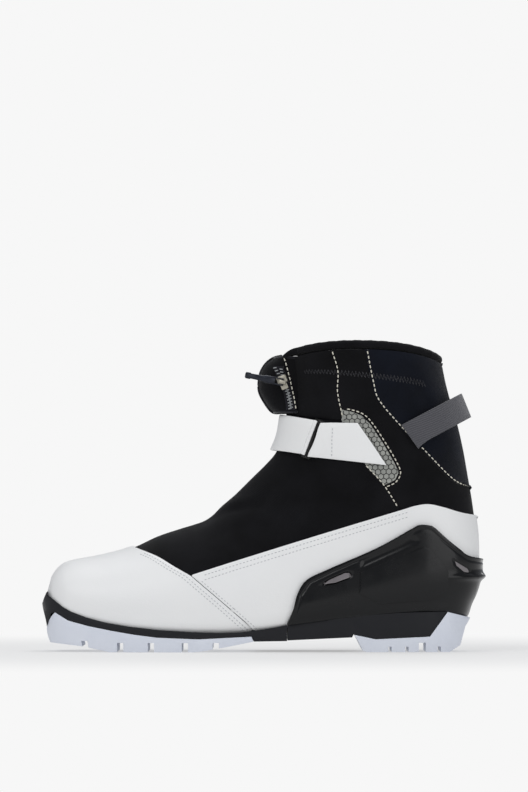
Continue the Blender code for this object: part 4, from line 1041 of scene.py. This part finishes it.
slider_x = float(np.interp(SLIDER_AT, *np.array(ZIP_LINE).T[::-1]))
middle, normal = (Vector(v) for v in on_flap(slider_x, SLIDER_AT, 1.5))
ends = [on_flap(float(np.interp(z, *np.array(ZIP_LINE).T[::-1])), z, 1.5)[0]
        for z in (SLIDER_AT + 5, SLIDER_AT - 9)]
down = Vector(ends[1] - ends[0]).normalized()
normal = (normal - down * normal.dot(down)).normalized()
swivel_out = (normal - PULLER_AXIS * normal.dot(PULLER_AXIS)).normalized()
swivel_down = PULLER_AXIS.cross(swivel_out)
plates = [placed(beveled_block((-3.2, -4.6, -0.4), (3.2, -3.3, 4.6), 0.6), middle, down, normal),
          placed(beveled_block((-2.3, -4.6, -4.6), (2.3, -3.3, 0.4), 0.6), middle, down, normal),
          placed(beveled_block((-3.2, -3.5, -0.2), (-2.3, -1.4, 4.4), 0.35), middle, down, normal),
          placed(beveled_block((2.3, -3.5, -0.2), (3.2, -1.4, 4.4), 0.35), middle, down, normal),
          placed(beveled_block((-1.1, -7.4, -2.2), (1.1, -6.2, 2.2), 0.35),
                 middle, swivel_down, swivel_out),
          placed(beveled_block((-1.1, -6.6, 1.2), (1.1, -4.2, 2.2), 0.3),
                 middle, swivel_down, swivel_out),
          placed(beveled_block((-1.1, -6.6, -2.2), (1.1, -4.2, -1.2), 0.3),
                 middle, swivel_down, swivel_out)]
slider = joined("zip_slider_body", plates, zip_paint, "zip_slider")
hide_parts("zip_slider")

bare_metal, tree, shader = finish("bare_zip_metal", "#A9A598", 0.34, Metallic=0.75)
where = node(tree, "ShaderNodeTexCoord")
scuff = node(tree, "ShaderNodeTexNoise", {"Vector": where.outputs["Object"], "Scale": 500.0,
                                          "Detail": 4.0})
dull = node(tree, "ShaderNodeMapRange", {"Value": scuff.outputs["Fac"], "To Min": 0.25, "To Max": 0.5})
tree.links.new(dull.outputs[0], shader.inputs["Roughness"])
slider.data.materials[0] = bare_metal

# A row of cream stitches holds the zip to the flap.
runs = []
for z in np.arange(158.5, 192.5, 3.1):
    spots = [np.array([np.interp(h, (157, 165, 177, 193.4), (21.2, 19.9, 17.3, 13.4)), h])
             for h in (z, z + 1.6)]
    runs.append([on_flap(*spot, 1.2)[0] + TO_MIDDLE for spot in spots])
zip_stitches = capsule_net("zip_seam_stitches", runs, 0.36, cream_thread, "boot", sides=8)

# The pull: a wire loop, and a moulded cord end that swells at its tip.
pull_parts = []
for low, high in (((-2.5, -5.95, -0.55), (2.5, -5.1, 0.55)), ((-2.5, -11.4, -0.55), (-1.6, -5.1, 0.55)),
                  ((1.6, -11.4, -0.55), (2.5, -5.1, 0.55))):
    pull_parts.append(beveled_block(low, high, 0.28))
bpy.ops.object.select_all(action="DESELECT")
bpy.ops.mesh.primitive_circle_add(vertices=20, radius=1 * MM, fill_type="NGON",
                                  rotation=(math.pi / 2, 0, 0), location=(0, -10.6 * MM, 0))
bpy.ops.object.transform_apply(location=True, rotation=True)
grip = bpy.context.object
bpy.ops.object.mode_set(mode="EDIT")
bpy.ops.mesh.select_all(action="SELECT")
at, radius = -10.6, 1.0
for next_at, next_radius in ((-10.8, 1.9), (-11.6, 2.35), (-17.5, 2.2), (-18.2, 1.75), (-26.5, 1.55),
                             (-27.2, 1.95), (-29.8, 1.9), (-30.4, 1.2)):
    bpy.ops.mesh.extrude_region_move(TRANSFORM_OT_translate={"value": (0, (next_at - at) * MM, 0)})
    share = next_radius / radius
    bpy.ops.transform.resize(value=(share, share, share), center_override=(0, next_at * MM, 0))
    at, radius = next_at, next_radius
bpy.ops.object.mode_set(mode="OBJECT")
grip.data.transform(Matrix.Diagonal((1.1, 1, 0.62, 1)))
bpy.ops.object.shade_smooth_by_angle(angle=math.radians(35))
pull_parts.append(grip)
for part in pull_parts:
    part.data.transform(Matrix.Rotation(PULLER_REST, 4, "X")
                        @ Matrix.Translation((0, PULLER_PIVOT * MM, 0)))
    placed(part, middle + swivel_out * PULLER_PIVOT, swivel_down, swivel_out)
puller = joined("zip_puller_cord_end", pull_parts, zip_paint, "zip_puller")
bm = bmesh.new()
bm.from_mesh(puller.data)
bmesh.ops.recalc_face_normals(bm, faces=bm.faces)
bm.to_mesh(puller.data)
bm.free()
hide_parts("zip_puller")

# ---------------------------------------------------------------- collar edge
# The shaft's top edge is rolled over a soft foam cord and overcast, open at the throat.
COLLAR_RADIUS, COLLAR_OPEN = 2.6, 0.17
q = np.linspace(COLLAR_OPEN, 2 - COLLAR_OPEN, 190)
collar_path = beyond_last(np.full(190, LAST_ROW), q, -3.0) + (0, 0, 3.3)
lumps = COLLAR_RADIUS + 0.1 * np.sin(np.arange(190) * 0.9) + 0.06 * np.sin(np.arange(190) * 2.3)
share = np.linspace(0, 1, 12, endpoint=False)[:, None]
front_end = collar_path[0] * share + np.array([13.0, collar_path[0, 1] * 0.95, 191.9]) * (1 - share)
front_end[:, 2] += 1.2 * np.sin(share[:, 0] * math.pi)
collar_path = np.vstack([front_end, collar_path, front_end[::-1] * (1, -1, 1)])
lumps = np.concatenate([1.2 + 1.3 * share[:, 0], lumps, 1.2 + 1.3 * share[::-1, 0]])
collar = tube("collar_edge_roll", collar_path, lumps, softshell, "boot", sides=16)
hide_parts("collar_binding")

# ---------------------------------------------------------------- heel pull loop
# Ribbed polypropylene webbing, 16.8 mm wide, sewn into the heel seam on both sides.
LOOP_WIDTH, LOOP_THICK = 16.8, 1.7
LOOP_SLOPE, LOOP_LEAN = math.radians(28), math.radians(22)

webbing, tree, shader = finish("ribbed_grey_webbing", "#4E4E53", 0.8, Specular_IOR_Level=0.2,
                               Sheen_Weight=0.25)
where = node(tree, "ShaderNodeTexCoord")
# The ribs are 0.7 mm apart; they are drawn at 0.8 mm so that they show.
ribs = node(tree, "ShaderNodeTexWave", {"Vector": where.outputs["UV"], "Scale": 420.0,
                                        "Distortion": 0.8, "Detail": 1.0, "Detail Scale": 300.0},
            bands_direction="DIAGONAL")
fibre = node(tree, "ShaderNodeTexNoise", {"Vector": where.outputs["Object"], "Scale": 900.0})
shade = node(tree, "ShaderNodeMix", {0: ribs.outputs["Fac"], 6: (*linear("#424247"), 1),
                                     7: (*linear("#5A5A5F"), 1)}, data_type="RGBA")
height = node(tree, "ShaderNodeMath", {0: ribs.outputs["Fac"], 1: fibre.outputs["Fac"]}, operation="ADD")
bump = node(tree, "ShaderNodeBump", {"Height": height.outputs[0], "Strength": 0.6, "Distance": 0.0003})
tree.links.new(shade.outputs[2], shader.inputs["Base Color"])
tree.links.new(bump.outputs[0], shader.inputs["Normal"])

half = smooth([(92.5, 37.3), (101, 37.2), (110, 34.6), (119, 28.8), (126.4, 18.8),
               (130.4, 8), (131.2, 0)], 90)
loop_path = np.vstack([half * (1, -1), half[-2::-1]])
rings = []
for i, (x, y) in enumerate(loop_path):
    start = 1 - min(i, len(loop_path) - 1 - i) / 22
    skew = max(start, 0) ** 2
    lift = 139.6 + (x - 92.5) * math.tan(LOOP_SLOPE)
    lean = np.array([-math.sin(LOOP_LEAN), 0, math.cos(LOOP_LEAN)]) * LOOP_WIDTH / 2
    share = np.linspace(-1, 1, 15)[:, None]
    ring = np.array([x, y, lift]) + lean * share
    ring[:, 0] += skew * 4.8 * (1 - share[:, 0]) / 2
    rings.append(ring)
loop = laid_sheet("pull_loop_webbing", np.array(rings).transpose(1, 0, 2))
if loop.data.polygons[7 * (len(loop_path) - 1) + 10].normal.y > 0:
    loop.data.flip_normals()
wall = loop.modifiers.new("wall", "SOLIDIFY")
wall.thickness, wall.offset = LOOP_THICK * MM, 1
rounded = loop.modifiers.new("rounded", "BEVEL")
rounded.width, rounded.segments, rounded.limit_method = 0.5 * MM, 3, "ANGLE"
apply_modifiers(loop)
bpy.ops.object.shade_smooth_by_angle(angle=math.radians(50))
loop.data.materials.append(webbing)
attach(loop, "pull_loop")
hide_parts("pull_loop")

# ---------------------------------------------------------------- heel counter
# A stiff glossy moulding that wraps the heel: a rim line under its top edge, a shallow recess,
# a raised plate on each side and a ridge round the back, with pale pinkish-grey sheets in two slots
# that are painted highlight, standing in for the softbox's reflection along each slot's slope.
COUNTER, PLATE, HIGHLIGHT_SHEET_DEPTH = (1.7, 3.7), (3.4, 4.9), (1.6, 3.1)
COUNTER_TOP = [(15.5, 17.9), (19.3, 27.8), (21.9, 37.6), (27.9, 46.9), (43.4, 54.5),
               (73.5, 67.6), (96, 80), (101, 82.5), (107, 82.4), (111, 80.8), (118.6, 74),
               (127.6, 66.8), (134.3, 62.3), (150, 59.6)]
COUNTER_FOOT = [(15.6, 17.4), (30, 19.2), (58.5, 21.9), (88.5, 23.9), (119.5, 25.0),
                (135, 22.6), (150, 22)]
RIDGE = [(112, 50), (118, 48.2), (132, 48.6), (150, 49.6)]
FRONT_SLOT = [(36.9, 43.4), (41.5, 46.6), (53.5, 51.9), (56.2, 51.7), (57.2, 50.2),
              (56.2, 48.4), (46, 44.6)]
REAR_SLOT = [(123.6, 59.6), (132.8, 54.2), (135.6, 50.3), (130.5, 51.6), (124.6, 56.4)]
RECESS = [(63.7, 55.2), (99.7, 71.6), (96, 76.5), (88, 71), (64, 59.6)]

gloss_black, tree, shader = finish("gloss_black_moulding", "#0B0C0E", 0.24, Specular_IOR_Level=0.25,
                                   Coat_Weight=0.12, Coat_Roughness=0.12)
where = node(tree, "ShaderNodeTexCoord")
smear = node(tree, "ShaderNodeTexNoise", {"Vector": where.outputs["Object"], "Scale": 60.0,
                                          "Detail": 5.0, "Roughness": 0.65})
rub = node(tree, "ShaderNodeMapRange", {"Value": smear.outputs["Fac"], "From Min": 0.35,
                                        "From Max": 0.75, "To Min": 0.16, "To Max": 0.34})
waves = node(tree, "ShaderNodeTexNoise", {"Vector": where.outputs["Object"], "Scale": 900.0})
bump = node(tree, "ShaderNodeBump", {"Height": waves.outputs["Fac"], "Strength": 0.05,
                                     "Distance": 0.0001})
tree.links.new(rub.outputs[0], shader.inputs["Roughness"])
tree.links.new(bump.outputs[0], shader.inputs["Normal"])

# Painted highlight: this pale pinkish-grey finish goes on sheets in the slots, in place of the softbox's
# reflection on each slot's sloping side.
painted_highlight_finish, tree, shader = finish("painted_highlight_sheet", "#6E686B", 0.22, Specular_IOR_Level=0.55,
                              Coat_Weight=0.4, Coat_Roughness=0.1)
where = node(tree, "ShaderNodeTexCoord")
cloud = node(tree, "ShaderNodeTexNoise", {"Vector": where.outputs["Object"], "Scale": 90.0,
                                          "Detail": 3.0})
shade = node(tree, "ShaderNodeMix", {0: cloud.outputs["Fac"], 6: (*linear("#5B5659"), 1),
                                     7: (*linear("#858083"), 1)}, data_type="RGBA")
grain = node(tree, "ShaderNodeTexNoise", {"Vector": where.outputs["Object"], "Scale": 1500.0})
bump = node(tree, "ShaderNodeBump", {"Height": grain.outputs["Fac"], "Strength": 0.08,
                                     "Distance": 0.0001})
tree.links.new(shade.outputs[2], shader.inputs["Base Color"])
tree.links.new(bump.outputs[0], shader.inputs["Normal"])


def away_from(points, line):
    """Each point's distance in side view from a line of x, z points."""
    spots = points.reshape(-1, points.shape[-1])[:, [0, -1]]
    line = np.array(line, float)
    best = np.full(len(spots), 1e9)
    for a, b in zip(line, line[1:]):
        share = np.clip((spots - a) @ (b - a) / ((b - a) @ (b - a)), 0, 1)[:, None]
        best = np.minimum(best, np.linalg.norm(spots - a - share * (b - a), axis=1))
    return best.reshape(points.shape[:-1])


def within(points, outline):
    """How far each point lies inside a closed outline in side view, minus outside it."""
    spots = points.reshape(-1, points.shape[-1])[:, [0, -1]]
    ring = np.array([*outline, outline[0]], float)
    odd = np.zeros(len(spots), bool)
    for a, b in zip(ring, ring[1:]):
        crosses = (a[1] > spots[:, 1]) != (b[1] > spots[:, 1])
        reach = a[0] + (spots[:, 1] - a[1]) * (b[0] - a[0]) / (b[1] - a[1] if b[1] != a[1] else 1e-9)
        odd ^= crosses & (spots[:, 0] < reach)
    return away_from(points, ring) * np.where(odd.reshape(points.shape[:-1]), 1, -1)


def counter_relief(points):
    """Rim groove, recess, raised lower field, ridge and slots, in mm."""
    from_top = away_from(points, COUNTER_TOP)
    groove = -0.4 * np.exp(-((from_top - 2.7) / 0.55) ** 2)
    recess = -0.8 / (1 + np.exp(-within(points, RECESS) / 0.45))
    ridge = 2.5 * np.exp(-(away_from(points, RIDGE) / 2.2) ** 2) / (1 + np.exp(-(points[..., 0] - 123) / 4))
    above_foot = points[..., 2] - np.interp(points[..., 0], *np.array(COUNTER_FOOT).T)
    corner = (np.interp(points[..., 0], (45, 60, 85, 112, 132), (0, 1.2, 3.2, 5.6, 5.0))
              * np.exp(-(np.maximum(above_foot - 1, 0) / 5) ** 2))
    slots = sum(-1.1 / (1 + np.exp(-within(points, slot) / 0.25)) for slot in (FRONT_SLOT, REAR_SLOT))
    return groove + recess + ridge + corner + slots


def round_heel(net):
    """A net that ends at the back of the heel, carried on over the inner side."""
    net[:, -1, 1] = -1
    return np.concatenate([net, net[:, -2::-1] * (1, -1) - (0, 2)], axis=1)


top = located(evenly(cut(smooth(COUNTER_TOP, 300), lambda x, z: x < 143.6), 130), COUNTER[1])
foot = located(evenly(cut(smooth(COUNTER_FOOT, 300), lambda x, z: x < 134), 130), COUNTER[1])
net = round_heel(between(foot, top, count=80))
counter = laid_panel("heel_counter_moulding", net, *COUNTER, gloss_black, counter_relief, bevel=0.6)
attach(counter, "boot")
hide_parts("heel_counter")

for side, label in ((OUTER, "lateral"), (INNER, "medial")):
    low = located(evenly([(62, 38), (76, 31), (108, 33.5), (118.6, 39.8)], 60), PLATE[1])
    high = located(evenly([(62.9, 51.8), (103.5, 68.3), (107.3, 67.6), (115.6, 59.3), (120.1, 51.8)],
                          60), PLATE[1])
    net = between(low, high, count=40)
    plate = laid_panel("counter_plate_raised_" + label, mirrored(net) if side == INNER else net,
                       *PLATE, gloss_black, bevel=0.8)
    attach(plate, "boot")
    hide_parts("counter_plate_" + label)
    # Each slot gets a pale sheet that is a painted highlight, the reflection along the slot's slope.
    for place, slot in (("front", FRONT_SLOT), ("rear", REAR_SLOT)):
        middle = np.mean(slot, axis=0)
        ring = [tuple(middle + (np.array(p) - middle) * 0.86) for p in slot]
        half = 4 if place == "front" else 2
        low = located(evenly([ring[0], *ring[:half:-1], ring[half]], 30), HIGHLIGHT_SHEET_DEPTH[1])
        high = located(evenly(ring[:half + 1], 30), HIGHLIGHT_SHEET_DEPTH[1])
        net = between(low, high, count=10)
        lens = laid_panel(f"smoked_lens_{place}_{label}", mirrored(net) if side == INNER else net,
                          *HIGHLIGHT_SHEET_DEPTH, painted_highlight_finish, bevel=0.3)
        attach(lens, "boot")
        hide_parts(f"counter_insert_{place}_{label}")

# ---------------------------------------------------------------- sole
# An injected polyurethane outsole under the forefoot and heel, bluish white with a fine
# moulded texture, and a soft black rubber rand and wedge between it and the upper.
white_sole, tree, shader = finish("white_outsole_pu", "#D9DDE7", 0.42, Specular_IOR_Level=0.4,
                                  Subsurface_Weight=0.05, Subsurface_Radius=(0.002, 0.002, 0.002))
where = node(tree, "ShaderNodeTexCoord")
grain = node(tree, "ShaderNodeTexNoise", {"Vector": where.outputs["Object"], "Scale": 1400.0,
                                          "Detail": 2.0})
flow = node(tree, "ShaderNodeTexNoise", {"Vector": where.outputs["Object"], "Scale": 30.0,
                                         "Detail": 4.0})
shade = node(tree, "ShaderNodeMix", {0: flow.outputs["Fac"], 6: (*linear("#CFD4E0"), 1),
                                     7: (*linear("#E0E4EC"), 1)}, data_type="RGBA")
bump = node(tree, "ShaderNodeBump", {"Height": grain.outputs["Fac"], "Strength": 0.2,
                                     "Distance": 0.00015})
tree.links.new(shade.outputs[2], shader.inputs["Base Color"])
tree.links.new(bump.outputs[0], shader.inputs["Normal"])

rand_rubber, tree, shader = finish("black_rand_rubber", "#191A1E", 0.5, Specular_IOR_Level=0.25)
where = node(tree, "ShaderNodeTexCoord")
grain = node(tree, "ShaderNodeTexNoise", {"Vector": where.outputs["Object"], "Scale": 1100.0,
                                          "Detail": 3.0})
dust = node(tree, "ShaderNodeTexNoise", {"Vector": where.outputs["Object"], "Scale": 55.0,
                                         "Detail": 5.0})
dull = node(tree, "ShaderNodeMapRange", {"Value": dust.outputs["Fac"], "From Min": 0.3,
                                         "From Max": 0.7, "To Min": 0.4, "To Max": 0.62})
bump = node(tree, "ShaderNodeBump", {"Height": grain.outputs["Fac"], "Strength": 0.3,
                                     "Distance": 0.00015})
tree.links.new(dull.outputs[0], shader.inputs["Roughness"])
tree.links.new(bump.outputs[0], shader.inputs["Normal"])

brushed_steel, tree, shader = finish("brushed_steel", "#A9A9AB", 0.3, Metallic=1.0)
where = node(tree, "ShaderNodeTexCoord")
drawn = node(tree, "ShaderNodeMapping", {"Vector": where.outputs["Object"], "Scale": (900, 60, 900)})
lines = node(tree, "ShaderNodeTexNoise", {"Vector": drawn.outputs[0], "Scale": 1.0, "Detail": 3.0})
polish = node(tree, "ShaderNodeMapRange", {"Value": lines.outputs["Fac"], "To Min": 0.2, "To Max": 0.42})
tree.links.new(polish.outputs[0], shader.inputs["Roughness"])


def moulded(name, cad_node, material, width):
    """A moulded piece from its frame solid, with every hard edge rounded."""
    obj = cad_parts[cad_node].copy()
    obj.data = obj.data.copy()
    obj.name = name
    obj.parent = None
    for key in [k for k in obj.keys() if k.startswith("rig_")]:
        del obj[key]
    bpy.context.scene.collection.objects.link(obj)
    bm = bmesh.new()
    bm.from_mesh(obj.data)
    bmesh.ops.remove_doubles(bm, verts=bm.verts, dist=2e-6)
    bmesh.ops.dissolve_limit(bm, angle_limit=math.radians(0.6), verts=bm.verts, edges=bm.edges)
    bm.to_mesh(obj.data)
    bm.free()
    rounded = obj.modifiers.new("rounded", "BEVEL")
    rounded.width, rounded.segments, rounded.limit_method = width * MM, 2, "ANGLE"
    rounded.angle_limit, rounded.use_clamp_overlap = math.radians(40), True
    apply_modifiers(obj)
    bpy.ops.object.shade_smooth_by_angle(angle=math.radians(38))
    obj.data.materials.clear()
    obj.data.materials.append(material)
    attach(obj, "boot")
    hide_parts(cad_node)
    return obj


moulded("forefoot_outsole", "outsole_forefoot", white_sole, 0.5)
moulded("heel_outsole", "outsole_heel", white_sole, 0.6)
rand = moulded("rubber_rand", "midsole_rand", rand_rubber, 0.4)
outsole = bpy.data.objects["forefoot_outsole"]
for obj, front_line in ((rand, [(16.6, -141.3), (31.2, -144.9), (38.5, -141.7), (42, -139)]),
                        (outsole, [(6, -139.2), (12, -140.9), (17, -141.5), (18.6, -140.9),
                                    (26, -135.8)])):
    bm = bmesh.new()
    bm.from_mesh(obj.data)
    for z in ((28, 31.2, 35) if obj is rand else (9, 12, 15)):
        bmesh.ops.bisect_plane(bm, geom=[*bm.verts, *bm.edges, *bm.faces], dist=1e-6,
                               plane_co=(0, 0, z * MM), plane_no=(0, 0, 1))
    for vertex in bm.verts:
        x, z = vertex.co.x / MM - TO_MIDDLE[0], vertex.co.z / MM
        if x < -138.5:
            z = 16.8 if obj is rand and z < 24 and x < -140 else z
            front = np.interp(z, *np.array(front_line).T)
            vertex.co.x, vertex.co.z = (max(x, front) + TO_MIDDLE[0]) * MM, z * MM
    bm.to_mesh(obj.data)
    bm.free()
moulded("rubber_wedge", "midsole_wedge", rand_rubber, 0.4)
moulded("toe_bar_steel", "toe_bar", brushed_steel, 0.4)
moulded("toe_bar_plate_steel", "toe_bar_plate", brushed_steel, 0.2)
moulded("shank_plate_steel", "shank_plate", brushed_steel, 0.15)

# ---------------------------------------------------------------- inside of the boot
# A brushed knit sock liner over foam, a padded tongue behind the flap and a moulded foam
# footbed.
brushed_knit = twill_cloth("brushed_knit_lining", "#1A1A1D", "#26262B", 0.5, thread_mm=0.9)
LINER = (-6.0, -3.5)
rows = np.linspace(5.5, LAST_ROW, 90)
open_place = np.maximum(throat_place(rows, LINER[1], 20.0), 0.02)
reach = np.linspace(0, 1, 150)[:, None]
liner_net = np.stack([rows + 0 * reach, -open_place - (2 - 2 * open_place) * reach], -1)
liner = laid_panel("sock_liner_knit", liner_net, *LINER, brushed_knit, bevel=0.5)
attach(liner, "boot")
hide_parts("liner")
rows = np.linspace(0.35, 5.8, 34)
around = np.linspace(-1, 1, 90)[:, None]
toe_net = np.stack([rows + 0 * around, around + 0 * rows], -1)
toe_sock = laid_panel("toe_liner_knit", toe_net, *LINER, brushed_knit, bevel=0)
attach(toe_sock, "boot")


def cushion(name, cad_node, material, voxel, pressure, cap):
    """A padded piece from its frame solid, swollen by a short cloth simulation."""
    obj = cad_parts[cad_node].copy()
    obj.data = obj.data.copy()
    obj.name = name
    obj.parent = None
    for key in [k for k in obj.keys() if k.startswith("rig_")]:
        del obj[key]
    bpy.context.scene.collection.objects.link(obj)
    bpy.ops.object.select_all(action="DESELECT")
    obj.select_set(True)
    bpy.context.view_layer.objects.active = obj
    blocky = obj.modifiers.new("blocky", "REMESH")
    blocky.mode, blocky.voxel_size = "VOXEL", voxel * MM
    apply_modifiers(obj)
    before = np.empty(len(obj.data.vertices) * 3)
    obj.data.vertices.foreach_get("co", before)
    cloth = obj.modifiers.new("cloth", "CLOTH")
    cloth.settings.use_pressure = True
    cloth.settings.uniform_pressure_force = pressure
    cloth.settings.effector_weights.gravity = 0
    cloth.point_cache.frame_end = 20
    for frame_number in range(1, 21):
        bpy.context.scene.frame_set(frame_number)
    graph = bpy.context.evaluated_depsgraph_get()
    swollen = np.empty(len(before))
    obj.evaluated_get(graph).data.vertices.foreach_get("co", swollen)
    obj.modifiers.remove(cloth)
    bpy.context.scene.frame_set(1)
    move = (swollen - before).reshape(-1, 3)
    size = np.linalg.norm(move, axis=1, keepdims=True)
    move *= np.minimum(1, cap * MM / np.maximum(size, 1e-9))
    obj.data.vertices.foreach_set("co", (before.reshape(-1, 3) + move).reshape(-1))
    obj.data.update()
    even = obj.modifiers.new("even", "SMOOTH")
    even.iterations = 3
    finer = obj.modifiers.new("finer", "SUBSURF")
    finer.levels = finer.render_levels = 1
    apply_modifiers(obj)
    obj.data.shade_smooth()
    obj.data.materials.clear()
    obj.data.materials.append(material)
    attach(obj, "boot")
    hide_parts(cad_node)
    return obj


cushion("padded_tongue", "tongue", brushed_knit, 1.6, 4.0, 0.9)
cushion("foam_footbed", "footbed", brushed_knit, 1.8, 4.0, 0.5)
